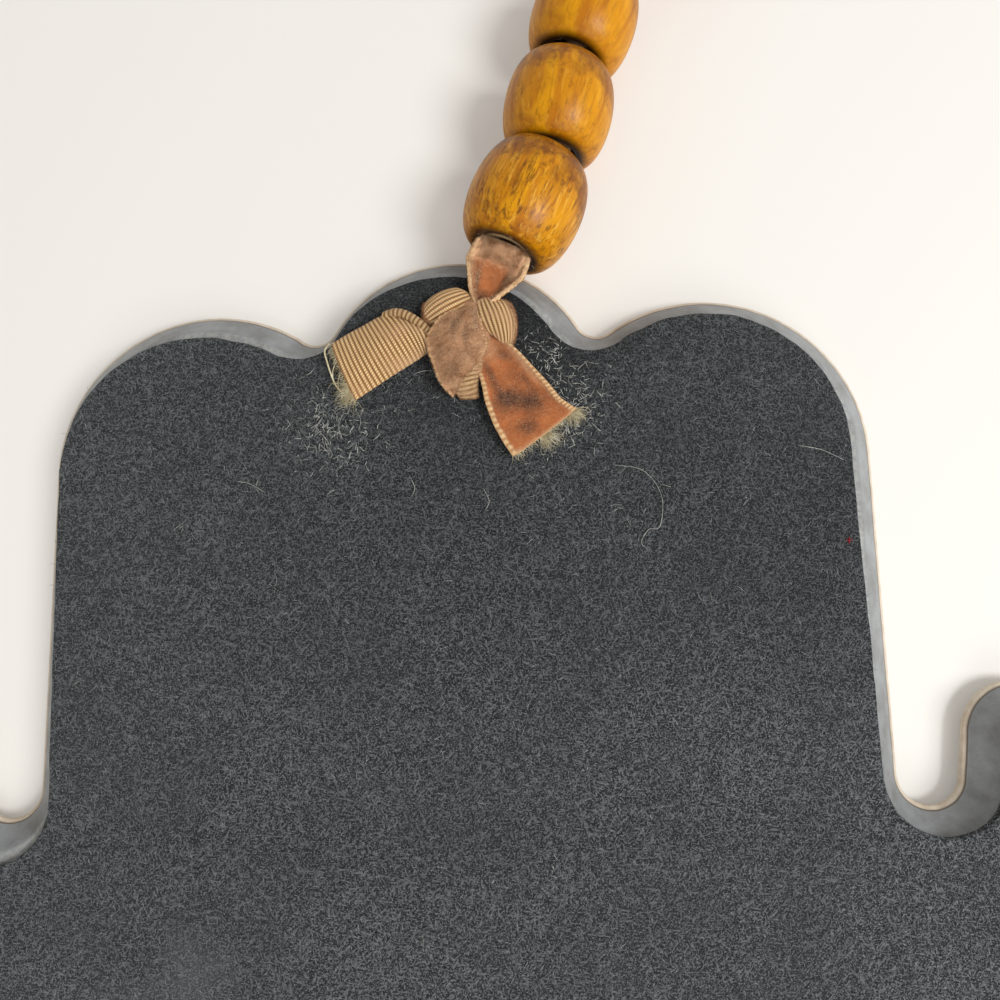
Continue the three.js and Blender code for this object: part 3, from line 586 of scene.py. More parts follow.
def woodMaterial(name, look, centre, along):
    # stained grain: streaks drawn out along the bead's axis, darker blots, and dark mouths that are
    # partly stain and partly painted shade where the beads meet
    material, n, shader = newMaterial(name, Roughness=look["rough"], Specular_IOR_Level=0.2,
                                      Coat_Weight=0.08, Coat_Roughness=0.3)
    turn = Vector(along).rotation_difference(Vector((0, 0, 1))).to_euler()
    moved = n.add("ShaderNodeVectorMath", {"operation": "SUBTRACT"}, i0=objectPlace(n),
                  i1=[c * mm for c in centre]).outputs[0]
    inBead = n.add("ShaderNodeMapping", None, Vector=moved, Rotation=turn, Scale=(1, 1, 1)).outputs[0]
    drawn = n.add("ShaderNodeMapping", None, Vector=inBead, Scale=(1, 1, 0.16)).outputs[0]
    streak = n.noise(drawn, 1500.0, 4.0, 0.7, 0.3)
    broad = n.noise(drawn, 330.0, 3.0, 0.6, 0.6)
    blot = n.noise(inBead, 190.0, 3.0, 0.55, 0.3)
    shade = n.mix(n.between(broad, 0.35, 0.65), look["amber"], look["honey"])
    shade = n.over(shade, look["streak"], n.between(streak, 0.5, 0.68), look["streaks"])
    light = n.spots(drawn, 1250.0, 0.54, 0.68, 3.0, 0.6)
    shade = n.over(shade, look["light"], light, 0.7 * look["streaks"])
    parts = n.split(inBead)
    upper = n.times(n.between(parts[2], -3 * mm, 8 * mm), 0.21)
    stained = n.between(n.plus(blot, upper), 0.52, 0.75)
    shade = n.over(shade, look["blot"], stained, look["blots"])
    mottle = n.between(n.plus(n.noise(inBead, 620.0, 4.0, 0.7, 0.5), upper), 0.6, 0.78)
    shade = n.over(shade, look["streak"], mottle, look["blots"])
    if "spot" in look:
        shade = spotOn(n, shade, look["spot"], 0.9, look["darkStainAndShade"])
    squares = [n.math("POWER", parts[k], 2.0) for k in (0, 1)]
    away = n.math("SQRT", n.plus(*squares))
    away = n.plus(away, n.times(n.minus(blot, 0.5), 1.6 * mm))
    # the dark ring round each mouth: partly stain, partly painted shade where the beads meet
    mouth = n.between(away, look["mouthFrom"] * mm, look["mouthTo"] * mm)
    shade = n.mix(mouth, look["darkStainAndShade"], shade)
    chipped = n.between(away, (look["mouthFrom"] + 0.5) * mm, (look["mouthFrom"] - 0.3) * mm)
    chips = n.times(n.spots(inBead, 900.0, 0.6, 0.66, 3.0, 0.7), chipped)
    shade = n.over(shade, look["chip"], chips, 0.7)
    n.feed(shade, shader, "Base Color")
    rough = n.plus(look["rough"] - 0.06, n.times(streak, 0.15))
    n.feed(rough, shader, "Roughness")
    bump(n, shader, n.plus(streak, n.times(broad, 0.7)), 0.06 * mm, 0.6)
    return material


bevelPaint = paintMaterial({
    "grey": tint(150, 153, 155), "greyDark": tint(118, 119, 117), "sparkle": tint(215, 218, 220),
    "edge": tint(205, 201, 190), "brown": tint(92, 78, 64), "cream": tint(222, 208, 188),
    "creamDark": tint(196, 176, 152), "rough": 0.42, "wobble": 0.2, "nick": (60.6, 64.2, 3.9),
    "backEdge": 6.42, "lineTop": 3.1, "creamTop": 2.92,
})
feltCloth = feltMaterial({
    "deep": tint(12, 14, 16), "mid": tint(50, 53, 55), "tips": tint(142, 146, 149),
    "patch": tint(50, 53, 55), "scuff": tint(134, 137, 138),
    "shadedAndScuffed": [  # where it is darker it is painted shade round the knot and on the right, where paler it is rubbed pale: place, how far it reaches and is full, and how much
        (6, 84, 72, 12, 0.4, "deep"), (9, 94, 32, 12, 0.85, "deep"), (60, 58, 46, 10, 0.42, "deep"),
        (-38, -5, 15, 5, 0.22, "scuff"), (-46, -12, 17, 6, 0.2, "scuff"),
    ],
})
ribbedCloth = ribbedMaterial({
    "grooveShade": tint(128, 86, 48), "cord": tint(186, 140, 88), "thread": tint(246, 214, 160),
    "stain": tint(160, 114, 66), "fuzz": tint(216, 172, 132),
})
velvetLooks = {
    "rust": tint(186, 106, 58), "dark": tint(122, 72, 50), "deep": tint(72, 44, 40),
    "tan": tint(204, 158, 120), "tips": tint(222, 166, 116), "edge": tint(192, 144, 98),
    "stitch": tint(238, 206, 156), "sheen": tint(230, 190, 150), "patches": 230.0, "mottle": 0.75,
    "ragged": 0.6, "edgeFrom": 0.425, "specks": 0.22,
}
rustVelvet = velvetMaterial("ribbon_velvet", velvetLooks)
# a paler copy for the knot and the cores in the beads: painted sheen
tanVelvet = velvetMaterial("ribbon_velvet_sheen", {
    **velvetLooks, "rust": tint(192, 142, 104), "dark": tint(118, 78, 56), "deep": tint(84, 52, 40),
    "tips": tint(228, 188, 148), "patches": 420.0, "mottle": 0.9, "edgeFrom": 0.42, "ragged": 0.9,
    "specks": 0.45,
})
# a paler copy for the neck: tan and dark lifted, painted light where it rounds up into the lowest bead
neckVelvet = velvetMaterial("ribbon_velvet_neck", {
    **velvetLooks, "tan": tint(244, 200, 160), "dark": tint(150, 96, 66), "deep": tint(80, 48, 40),
    "edge": tint(226, 184, 142), "edgeFrom": 0.395, "specks": 0.3,
})
paleFibre = fibreMaterial("lint_fibre", tint(232, 232, 224), tint(170, 170, 164))
tanFibre = fibreMaterial("ribbon_fibre", tint(242, 208, 170), tint(186, 138, 98))
brownFibre = fibreMaterial("ribbon_fibre_brown", tint(186, 138, 98), tint(128, 86, 58))
threadFibre = fibreMaterial("ribbon_thread", tint(240, 232, 202), tint(196, 180, 138))
redFibre = fibreMaterial("red_fibre", tint(170, 40, 52), tint(130, 30, 44))
feltFibre = fibreMaterial("felt_fibre", tint(160, 163, 166), tint(80, 82, 85), 0.9)
print("materials made")


beads = {
    "turns": (24.7, 13.5, 19.6), "diameters": (17.8, 17, 16.6), "lengths": (16.3, 14.3, 14.6),
    "gap": 1.3, "rest": 0.15, "firstDip": math.radians(4), "start": (8.1, 98.4), "faceRadius": 5.2,
    "boreRadius": 4.1, "chamfer": 0.4, "lip": 0.12, "swell": 0.9, "dent": 0.07, "dentSize": 16,
    "around": 96, "steps": 60,
}


def beadFrames(look):
    # each bead's axis: the lowest dips from the rim, and each next one starts where the last ended,
    # at the height that leaves its waist just clear of the table
    frames, start = [], None
    sizes = zip(look["turns"], look["diameters"], look["lengths"])
    for i, (turn, diameter, length) in enumerate(sizes):
        a, rest = math.radians(turn), diameter / 2 + look["rest"]
        if i == 0:
            dip = look["firstDip"]
            start = np.array([*look["start"], rest + length / 2 * math.sin(dip)])
        else:
            dip = math.asin((start[2] - rest) / (look["gap"] + length / 2))
        along = np.array([math.sin(a) * math.cos(dip), math.cos(a) * math.cos(dip), -math.sin(dip)])
        mouth = start + along * (look["gap"] / 2 if i else 0)
        end = mouth + along * length
        frames.append({"along": along, "mouth": mouth, "end": end, "middle": (mouth + end) / 2,
                       "radius": diameter / 2, "length": length})
        start = end + along * look["gap"] / 2
    return frames


strand = beadFrames(beads)
loopLook = {
    "route": [
        (0.4, 1.1, 0), (3.2, 2.6, -0.8), (8.4, 4.2, -2.4), (15.6, 8.2, -3.7), (21.8, 16.2, -3.9),
        (23.6, 26.4, -3.9), (18.8, 35.8, -3.9), (9.6, 39.6, -3.9), (0.4, 36.6, -3.9), (-5, 28, -3.9),
        (-4.8, 17.2, -3.6), (-2.4, 8.4, -2.2), (-0.9, 1.3, 0),
    ],
    "width": ribbon["width"], "startWidth": 7, "thickness": 0.9, "lowest": -3.9,
    "rows": 420, "cells": 20, "ribHeight": 0.08,
}


def makeLoop(look, frameOfTop):
    end = frameOfTop["end"]
    lift = look["width"] / 2 + beads["rest"] - end[2]
    route = np.array(look["route"]) * (1, 1, lift / look["lowest"]) + end
    width = np.full((len(route), 1), look["width"])
    width[[0, -1]] = look["startWidth"]
    across, rest = (np.tile(values, (len(route), 1)) for values in ((0, 0, 1), (look["thickness"], 0)))
    stations = np.hstack([route, across, width, rest])
    shape = {"stations": stations, "top": "ribbed", "bottom": "velvet",
             **{key: look[key] for key in ("rows", "cells", "ribHeight")}}
    band = ribbonSection(shape)
    piece = makeRibbon("hanging_loop", ribbonSkin(shape, band), rustVelvet, "loop")
    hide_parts("ribbon_loop")
    print("hanging loop", round(float(band["length"]), 1), "mm")


makeLoop(loopLook, strand[2])


def crossing(a, reachA, b, reachB, side):  # where two circles of those reaches cross
    d = np.subtract(b[:2], a[:2])
    apart = math.hypot(*d)
    along = (apart**2 + reachA**2 - reachB**2) / (2 * apart)
    off = side * math.sqrt(max(0.0, reachA**2 - along**2))
    return (a[0] + (along * d[0] - off * d[1]) / apart, a[1] + (along * d[1] + off * d[0]) / apart)


def plaqueOutline(chord):
    # Circles in a row joined by their common tangents, from the middle fingertip down to the wrist;
    # the points of each arc are centre + radius * (cos, sin), and the left side mirrors the right
    tip, side, thumb, wrist = (plaque[k] for k in ("middleTip", "sideTip", "thumb", "wrist"))
    r = plaque["notchRadius"]
    notch = (*crossing(tip, tip[2] + r, side, side[2] + r, 1), r)
    big = plaque["palmSide"]
    palm = (*crossing(thumb, big - thumb[2], wrist, big - wrist[2], -1), big)
    circles = [(*tip, 1), (*notch, -1), (*side, 1), (*plaque["valley"], -1), (*thumb, 1), (*palm, 1),
               (*wrist, 1)]
    heading, arcs = 0.0, []
    for k, (x, y, radius, turn) in enumerate(circles):
        leaves = -math.pi
        if k + 1 < len(circles):
            nx, ny, nr, nt = circles[k + 1]
            dx, dy = nx - x, ny - y
            slip = (turn * radius - nt * nr) / math.hypot(dx, dy)
            leaves = math.atan2(dy, dx) - math.asin(max(-1, min(1, slip)))
        sweep = leaves - heading
        while sweep * turn > 1e-6:
            sweep -= turn * 2 * math.pi
        steps = max(3, math.ceil(abs(sweep) / (2 * math.acos(1 - chord / radius))))
        angle = heading + turn * math.pi / 2 + np.linspace(0, sweep, steps + 1)
        c, s = np.cos(angle), np.sin(angle)
        arcs.append(np.stack([x + radius * c, y + radius * s, turn * c, turn * s], -1))
        heading = leaves
    half = np.concatenate(arcs)
    half = half[np.concatenate([[True], np.linalg.norm(np.diff(half[:, :2], axis=0), axis=1) > 1e-3])]
    gaps = np.linalg.norm(np.diff(half[:, :2], axis=0), axis=1)
    count = np.maximum(1, np.ceil(gaps / 1.6)).astype(int)
    along = np.concatenate([i + np.arange(c) / c for i, c in enumerate(count)] + [[len(half) - 1.0]])
    half = np.stack([np.interp(along, np.arange(len(half)), half[:, k]) for k in range(4)], -1)
    half[:, 2:] = unit(half[:, 2:])
    left = half[1:-1] * (-1, 1, -1, 1)
    return np.concatenate([half[::-1], left])


outline = plaqueOutline(0.006)


def ringAt(inset, z):
    return np.column_stack([outline[:, :2] - inset * outline[:, 2:], np.full(len(outline), z)])


def holeRing(radius, z, count=64):
    a = np.linspace(0, 2 * math.pi, count, endpoint=False)
    x, y = plaque["hole"]
    return np.column_stack([x + radius * np.cos(a), y + radius * np.sin(a), np.full(count, z)])


def capFaces(outer, hole, outerStart, holeStart):
    found = np.array(tessellate_polygon([[Vector(p) for p in ring.tolist()] for ring in (outer, hole)]))
    return np.where(found < len(outer), found + outerStart, found - len(outer) + holeStart)


def platedSolid(rings, hole):
    # walls over the rings, flat caps at both ends and a round hole between them
    count = len(rings[0])
    low, high = (holeRing(hole, rings[k][0, 2]) for k in (0, -1))
    points = np.concatenate(rings + [low, high])
    base = count * len(rings)
    walls = gridFaces(len(rings), count)
    bore = gridFaces(2, len(low)) + base
    caps = np.concatenate([capFaces(rings[0], low, 0, base),
                           capFaces(rings[-1], high, base - count, base + len(low))])
    return points, [np.concatenate([walls, bore]), caps]


bodyLook = {  # points of its section, inward and up, each from where its name says
    "rimSteps": 9, "sharp": math.radians(40), "toFoot": [(0, -0.5), (0.06, -0.28), (0.2, -0.1)],
    "atLip": 0.02, "upBevel": [0.14, 0.45, 0.8, 0.95], "hollow": 0.03,
    "toBack": [(-0.04, -0.05), (0.3, 0)],
}


def makeBody(look):
    a = np.linspace(0, math.pi / 2, look["rimSteps"])
    r, ground = plaque["rimRound"], plaque["ground"]
    section = list(zip(r * (1 - np.sin(a)), ground + r * (1 - np.cos(a))))
    foot, inset, back, lip = (plaque[k] for k in ("bevelFoot", "bevelInset", "back", "lip"))
    section += [(d, foot + z) for d, z in look["toFoot"]] + [(lip, foot + look["atLip"])]
    rise = np.array(look["upBevel"])
    section += list(zip(lip + (inset - lip) * (rise - look["hollow"]), foot + (back - foot) * rise))
    section += [(inset + d, back + z) for d, z in look["toBack"]]
    points, faces = platedSolid([ringAt(d, z) for d, z in section], plaque["holeRadius"])
    piece = makePiece("plaque_shell", points, faces, [bevelPaint], "plaque", heal=True)
    piece.data.set_sharp_from_angle(angle=look["sharp"])
    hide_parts("plaque_body")


makeBody(bodyLook)

reliefLook = {
    "root": 0.5, "eye": (58, 30, 2.6), "iris": (10.5, 2.4), "pupil": 4.8, "ridge": (2.6, 46, 9),
    "drop": (9, 5.4, 27), "crease": (62, 42, 14, 40), "wristDrop": 15, "sides": 20,
}


def roundedBar(path, width, closed):
    # A flat-topped rib carried along a path: its section is a superellipse, half sunk in the ground
    path = np.asarray(path)
    step = (np.roll(path, -1, 0) - np.roll(path, 1, 0)) if closed else np.gradient(path, axis=0)
    heading = unit(step)
    side = np.column_stack([-heading[:, 1], heading[:, 0]])
    sides = reliefLook["sides"]
    a = np.linspace(0, 2 * math.pi, sides, endpoint=False)
    x = np.sign(np.cos(a)) * np.abs(np.cos(a)) ** 0.6 * width / 2
    z = plaque["ground"] - np.sign(np.sin(a)) * np.abs(np.sin(a)) ** 0.6 * plaque["ground"]
    scale = np.ones(len(path))
    if not closed:
        run = np.concatenate([[0], np.cumsum(np.linalg.norm(np.diff(path, axis=0), axis=1))])
        near = np.minimum(run, run[-1] - run) / (width / 2)
        scale = np.sqrt(np.clip(1 - (1 - np.clip(near, 0.02, 1)) ** 2, 0, 1))
    flat = path[:, None] + side[:, None] * (x * scale[:, None])[..., None]
    ground = plaque["ground"]
    deep = np.where(z < ground, z, np.minimum(z, ground + reliefLook["root"]))[None]
    deep = ground + (deep - ground) * np.where(deep < ground, scale[:, None] ** 0.3, 1)
    points = np.concatenate([flat, deep[..., None]], -1)
    faces = [gridFaces(len(path), sides, closed)] + ([] if closed else [endFans(len(path), sides)])
    return points.reshape(-1, 3), faces


def dome(edge):
    # a low flat-topped boss inside a closed edge: rings shrink to its middle as they rise
    share = np.array([1, 1, 0.93, 0.84, 0.6, 0.3, 0.05])
    rise = np.array([plaque["ground"] + 0.4, 0.55, 0.22, 0.05, 0, 0, 0])
    middle = edge.mean(0)
    count = len(edge)
    rings = [np.column_stack([middle + (edge - middle) * k, np.full(count, z)])
             for k, z in zip(share, rise)]
    return np.concatenate(rings), [gridFaces(len(rings), count), endFans(len(rings), count)[:, ::-1]]


def bezier(points, count):
    t = np.linspace(0, 1, count)[:, None]
    a, b, c, d = (np.array(p) for p in points)
    return (1 - t) ** 3 * a + 3 * (1 - t) ** 2 * t * b + 3 * (1 - t) * t**2 * c + t**3 * d


def dropEdge(x, y, flip, look):
    length, r = look["drop"][0], look["drop"][1] / 2
    under, over, shoulder = y - flip * r * 4 / 3, y + flip * r, y + flip * (length - 2 * r)
    tip = (x, y + flip * (length - r))
    low = bezier([(x - r, y), (x - r, under), (x + r, under), (x + r, y)], 17)[:-1]
    right = bezier([(x + r, y), (x + r, over), (x + r / 3, shoulder), tip], 11)[:-1]
    left = bezier([tip, (x - r / 3, shoulder), (x - r, over), (x - r, y)], 11)[:-1]
    return np.concatenate([low, right, left])


def makeRelief(look):
    length, width, line = look["eye"]
    a = np.array([length / 2 - line, 0])
    arch = (width - line) * 2 / 3
    upper = bezier([-a, (-length / 4, arch), (length / 4, arch), a], 61)
    turn = np.linspace(0, 2 * math.pi, 96, endpoint=False)
    circle = np.column_stack([np.cos(turn), np.sin(turn)])
    radius, band = look["iris"]
    parts = [roundedBar(upper, line, False), roundedBar(upper * (1, -1), line, False),
             roundedBar(circle * (radius - band / 2), band, True), dome(circle * look["pupil"])]
    tip, side = plaque["middleTip"], plaque["sideTip"]
    r = plaque["notchRadius"]
    notch = crossing(tip, tip[2] + r, side, side[2] + r, 1)
    wide, long, clear = look["ridge"]
    radius, offset, down, sweep = look["crease"]
    dropLength, dropWidth, dropDown = look["drop"]
    arc = np.radians(np.linspace(-sweep / 2, sweep / 2, 41))
    for s in (-1, 1):
        top = np.array([s * notch[0], notch[1] - clear])
        foot = np.array([s * notch[0] * 0.8, top[1] - long])
        ridge = top + (foot - top) * np.linspace(0, 1, 41)[:, None]
        bow = np.column_stack([s * (offset - radius * (1 - np.cos(arc))), radius * np.sin(arc) - down])
        thumb = (s * (plaque["thumb"][0] - dropWidth / 2), plaque["thumb"][1] - dropLength)
        parts += [roundedBar(ridge, wide, False), roundedBar(bow, wide, False),
                  dome(dropEdge(s * side[0], side[1], 1, look)), dome(dropEdge(*thumb, 1, look))]
    foot = plaque["wrist"][1] - plaque["wrist"][2] + look["wristDrop"] + dropLength
    upper = plaque["tipHeight"] - dropDown - dropLength
    parts += [dome(dropEdge(0, upper, 1, look)), dome(dropEdge(0, foot, -1, look))]
    points, faces = joinPieces(parts)
    makePiece("front_relief", points, faces, [bevelPaint], "plaque", heal=True)


makeRelief(reliefLook)
print("plaque body made")


feltLook = {
    "margin": 0.15, "turn": math.radians(0.97), "pivot": 40, "shift": (-0.35, -0.2), "ragged": 0.24,
    "raggedSize": 8, "holeRadius": 3.75, "sharp": math.radians(50),
    "foot": [(0.05, 0), (0, 0.3)], "shoulder": [(0, -0.25), (0.1, -0.07), (0.3, 0)],
    "fibres": 13000, "fibreRadius": 0.03, "fibreLength": (0.4, 1.3), "fibreBend": (0.1, 0.7),
    "pushes": [(-21.5, 83.5, 7, 1.0), (-15, 92, 6, 0.6)],  # where it was cut wide: place, reach, how much
}


def makeFelt(look):
    # the back's outline, turned a little, its cut edge wandering by a smooth noise
    ring, out = ringAt(plaque["bevelInset"] + look["margin"], 0), outline[:, 2:]
    wander = (softNoise(ring, look["raggedSize"], 3, 5) - 0.3) * look["ragged"]
    for x, y, reach, amount in look["pushes"]:
        wander = wander + amount * np.exp(-((ring[:, 0] - x) ** 2 + (ring[:, 1] - y) ** 2) / reach**2)
    flat = ring[:, :2] + out * wander[:, None]
    c, s = math.cos(look["turn"]), math.sin(look["turn"])
    x, y = flat[:, 0], flat[:, 1] - look["pivot"]
    flat = np.column_stack([c * x - s * y, s * x + c * y + look["pivot"]]) + look["shift"]
    levels = [(d, plaque["feltBottom"] + z) for d, z in look["foot"]]
    levels += [(d, plaque["feltTop"] + z) for d, z in look["shoulder"]]
    rings = [np.column_stack([flat - out * d, np.full(len(flat), z)]) for d, z in levels]
    points, faces = platedSolid(rings, look["holeRadius"])
    piece = makePiece("felt_sheet", points, faces, [feltCloth], "plaque", heal=True)
    piece.data.set_sharp_from_angle(angle=look["sharp"])
    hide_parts("felt_backing")
    x, y = flat.T
    return flat


def insideOf(points, ring):
    # even crossings of a ray to the right put a point outside the ring
    (ax, ay), (bx, by) = ring.T, np.roll(ring, -1, 0).T
    px, py = points[:, None, 0], points[:, None, 1]
    spans = (ay > py) != (by > py)
    with np.errstate(divide="ignore", invalid="ignore"):
        x = ax + (py - ay) / (by - ay) * (bx - ax)
    return (np.sum(spans & (px < x), axis=1) % 2) == 1


def scatter(count, low, high, ring, random):
    places = np.zeros((0, 2))
    while len(places) < count:
        tried = random.uniform(low, high, (count, 2))
        places = np.concatenate([places, tried[insideOf(tried, ring)]])
    return places[:count]


def makeFeltFibres(name, look, ring, seed):
    random = np.random.default_rng(seed)
    count = look["fibres"]
    places = scatter(count, ring.min(0), ring.max(0), ring[::4], random)
    roots = np.column_stack([places, np.full(count, plaque["feltTop"] - 0.02)])
    heading = random.uniform(0, 2 * math.pi, count)
    lean = np.column_stack([np.cos(heading), np.sin(heading), random.uniform(0.02, 0.5, count)])
    lengths, bends = (random.uniform(*look[key], count) for key in ("fibreLength", "fibreBend"))
    points, faces = strands(roots, lean, lengths, look["fibreRadius"], bends, seed + 1, rings=3,
                            droop=0.18, floor=plaque["feltTop"] + 0.01)
    makePiece(name, points, faces, [feltFibre], "plaque")


feltRing = makeFelt(feltLook)
makeFeltFibres("felt_fibres", feltLook, feltRing, 11)
makeFeltFibres("felt_fibres_more", feltLook, feltRing, 15)
print("felt made")


beadLooks = {
    "amber": tint(180, 108, 0), "honey": tint(216, 148, 0), "streak": tint(104, 56, 4),
    "light": tint(236, 176, 60), "blot": tint(118, 62, 0), "chip": tint(196, 176, 140),
    "darkStainAndShade": tint(46, 26, 6), "rough": 0.38, "mouthFrom": 4.9, "mouthTo": 6.3,
}
eachBead = {  # what differs from bead to bead
    "low": {"streaks": 0.95, "blots": 0.75, "spot": (17.6, 101.4, 15.6)},
    "mid": {"streaks": 0.45, "blots": 0.65},
    "top": {"streaks": 0.25, "blots": 0.45},
}


def makeBead(name, place, look, shift):
    # A turned barrel: radius = face + (waist - face) * cos(a)^swell at height half * sin(a), for a
    # from one end to the other, then back down the bore
    half, waist = place["length"] / 2, place["radius"]
    a = np.linspace(-math.pi / 2, math.pi / 2, beads["steps"] + 1)
    face, bore, chamfer = beads["faceRadius"], beads["boreRadius"], beads["chamfer"]
    r = face + (waist - face) * np.abs(np.cos(a)) ** beads["swell"]
    z = half * np.sin(a)
    lips = np.array([bore, bore + beads["lip"], bore + chamfer])
    r = np.concatenate([lips, r, lips[::-1], np.full(6, bore)])
    lips = half - np.array([chamfer, beads["lip"], 0])
    z = np.concatenate([-lips, z, lips[::-1], np.linspace(half * 0.8, -half * 0.8, 6)])
    side = unit(np.cross(place["along"], (0, 0, 1)))
    other = np.cross(side, place["along"])
    axis = place["middle"] + place["along"] * z[:, None, None]
    out = ringAround(side, other, beads["around"])
    uneven = softNoise(axis + out * r[:, None, None] + shift, beads["dentSize"], 21, 2)
    dent = (uneven[..., None] - 1) * beads["dent"]
    points = axis + out * (r[:, None, None] + dent * (r > bore + 0.5)[:, None, None])
    faces = gridFaces(len(r), beads["around"], looped=True)
    wood = woodMaterial("wood_" + name, look, place["middle"], place["along"])
    piece = makePiece("barrel_" + name, points, [faces], [wood], "bead_" + name, heal=True)
    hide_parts("bead_" + name)


for index, (name, own) in enumerate(eachBead.items()):
    makeBead(name, strand[index], {**beadLooks, **own}, 40 * index)
print("beads made")


def byKnot(thick, stations):
    # each a place from the knot's heart, the way across, width and bend, and how the way across rises
    return [(*fromKnot(x, y, rise), acrossX, acrossY, *(tilt or [0]), width, thick, bend)
            for x, y, rise, acrossX, acrossY, width, bend, *tilt in stations]


ribsUp = {"top": "ribbed", "bottom": "velvet", "up": (0, 0, 1)}
velvetUp = {"top": "velvet", "bottom": "ribbed", "up": (0, 0, 1)}


def makeBand(name, shape, body, velvet, node, extra=()):
    band = ribbonSection(shape)
    skins = [ribbonSkin(shape, band)] + [ribbonSkin(more, ribbonSection(more)) for more in extra]
    piece = makeRibbon(name, joinSkins(skins), velvet, body)
    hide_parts(node)
    return band


leftTailShape = {  # arched over the felt, ribs up
    **ribsUp, "stations": byKnot(0.4, [
        (-4.6, 0.4, 1.4, -0.3, 0.95, 3.4, -30),
        (-6.5, 0.1, 2.3, -0.42, 0.91, 5.6, -48),
        (-9.5, 0.3, 2.8, -0.52, 0.86, 9.4, -46),
        (-13.8, -2.2, 2.9, -0.47, 0.88, 9.6, -32),
        (-18.6, -5.1, 2.3, -0.38, 0.925, 9.7, -18),
    ]),
    "rows": 320, "cells": 48, "crumple": (0.1, 7, 4),
    "brushedAndShaded": [(0, 0.1, 9, 0.2, 0.8), (-0.9, 0.4, 0.2, 0.3, 0.4)],
}
leftRollShape = {  # its upper edge rolled over where it leaves the knot
    **ribsUp, "stations": byKnot(0.3, [
        (-12.4, 3.5, 2.2, 0.35, 0.94, 1.0, -120),
        (-10.9, 3.7, 2.6, 0.2, 0.98, 1.9, -130),
        (-9.2, 3.3, 2.9, 0.4, 0.92, 2.2, -135),
        (-7.5, 2.3, 2.9, 0.55, 0.83, 2.2, -135),
        (-6.1, 1.2, 2.6, 0.6, 0.8, 1.8, -130),
        (-5.0, 0.3, 2.1, 0.6, 0.8, 1.2, -120),
    ]),
    "rows": 110, "cells": 18, "crumple": (0.08, 3, 5),
    "pitch": 0.5, "ribHeight": 0.08,
}
rightTailShape = {  # cupped, velvet up
    **velvetUp, "stations": byKnot(0.45, [
        (2.0, -0.4, 1.5, 0.9, 0.42, 4, 0),
        (3.9, -2.9, 1.45, 0.94, 0.34, 6.4, 8),
        (5.7, -5.7, 1.2, 0.97, 0.22, 8.2, 22),
        (7.4, -9.1, 0.95, 0.965, 0.26, 10.1, 26),
        (8.9, -12.2, 0.8, 0.92, 0.4, 11, 24),
        (11.3, -15.2, 0.85, 0.81, 0.585, 12, 16),
    ]),
    "rows": 280, "cells": 52, "crumple": (0.3, 7, 9),
    "selvedge": 0.24, "dash": 0.3,
    "paintedSheen": [(1, 0.5, 0.16, 9, 0.9), (-1, 0.6, 0.16, 0.5, 0.9), (0, 1.02, 9, 0.04, 1),
             (-0.4, 0.05, 1, 0.2, 0.8), (0.75, 0.4, 0.2, 0.2, 0.5)],
    "brushedAndShaded": [(-0.3, 0.6, 0.5, 0.11, 1), (0.3, 0.7, 0.35, 0.09, 0.8), (-0.55, 0.34, 0.2, 0.2, 0.7),
                (0.35, 0.22, 0.4, 0.07, 0.7), (-0.2, 0.88, 0.35, 0.07, 0.8), (0.5, 0.5, 0.15, 0.1, 0.5)],
}
leftWrapShape = {
    **ribsUp, "stations": byKnot(0.45, [
        (-1.7, 2.2, 1.9, 0.88, 0.47, 8, -30),
        (-2.4, 3.6, 2.8, 0.88, 0.47, 8.6, -34),
        (-3.3, 5.1, 2.8, 0.88, 0.47, 8.4, -36),
        (-3.9, 6.3, 1.9, 0.88, 0.47, 7, -32),
        (-4.2, 6.9, 0.5, 0.88, 0.47, 5.6, -24),
    ]),
    "rows": 220, "cells": 40, "crumple": (0.12, 5, 14),
    "brushedAndShaded": [(-1, 0.5, 0.3, 9, 1), (0, 1, 9, 0.2, 0.8), (0, 0, 9, 0.12, 0.6)],
}
rightWrapShape = {
    **ribsUp, "stations": byKnot(0.45, [
        (1.3, 2.6, 2.4, -0.3, 0.95, 4.2, -20),
        (3.4, 2.3, 3.1, -0.3, 0.95, 7, -32),
        (5.4, 2.1, 2.7, -0.26, 0.965, 8.4, -36),
        (6.9, 2.1, 1.5, -0.12, 0.99, 8, -34),
        (7.4, 2.1, 0.5, -0.05, 1, 7, -26),
    ]),
    "rows": 220, "cells": 40, "crumple": (0.1, 5, 15),
    "brushedAndShaded": [(1, 0.6, 0.2, 9, 0.8), (0, 1, 9, 0.28, 1), (-1, 0.5, 0.2, 9, 0.7)],
}
centreWrapShape = {
    **velvetUp, "stations": byKnot(0.5, [
        (1.3, 4.7, 2.2, 1, 0.1, 1.8, -20),
        (-0.2, 2.5, 3.4, 0.98, -0.2, 5.6, -34),
        (-1.3, -0.1, 4.2, 1, -0.08, 9.2, -44, 0.08),
        (-1.3, -2.3, 4.3, 1, -0.02, 9.9, -46, 0.1),
        (-1.1, -4.3, 3.9, 0.98, 0.2, 8.6, -48, 0.06),
        (-0.9, -5.8, 3.3, 0.92, 0.4, 7.2, -46),
        (-0.8, -7.0, 2.3, 0.86, 0.5, 5.6, -40),
        (-0.6, -7.7, 0.9, 0.82, 0.57, 4.2, -24),
    ]),
    "rows": 280, "cells": 48, "crumple": (0.42, 4.4, 16),
    "selvedge": 0.42, "dash": 0.1,
    "paintedSheen": [(0.95, 0.45, 0.2, 9, 0.8), (-0.8, 0.3, 0.3, 9, 0.5)],
    "brushedAndShaded": [(-0.1, 0.3, 0.2, 0.2, 0.9), (0.3, 0.45, 0.12, 0.16, 0.8), (-0.3, 0.78, 0.4, 0.1, 0.7),
                (0.6, 0.2, 0.2, 0.2, 0.6)],
}
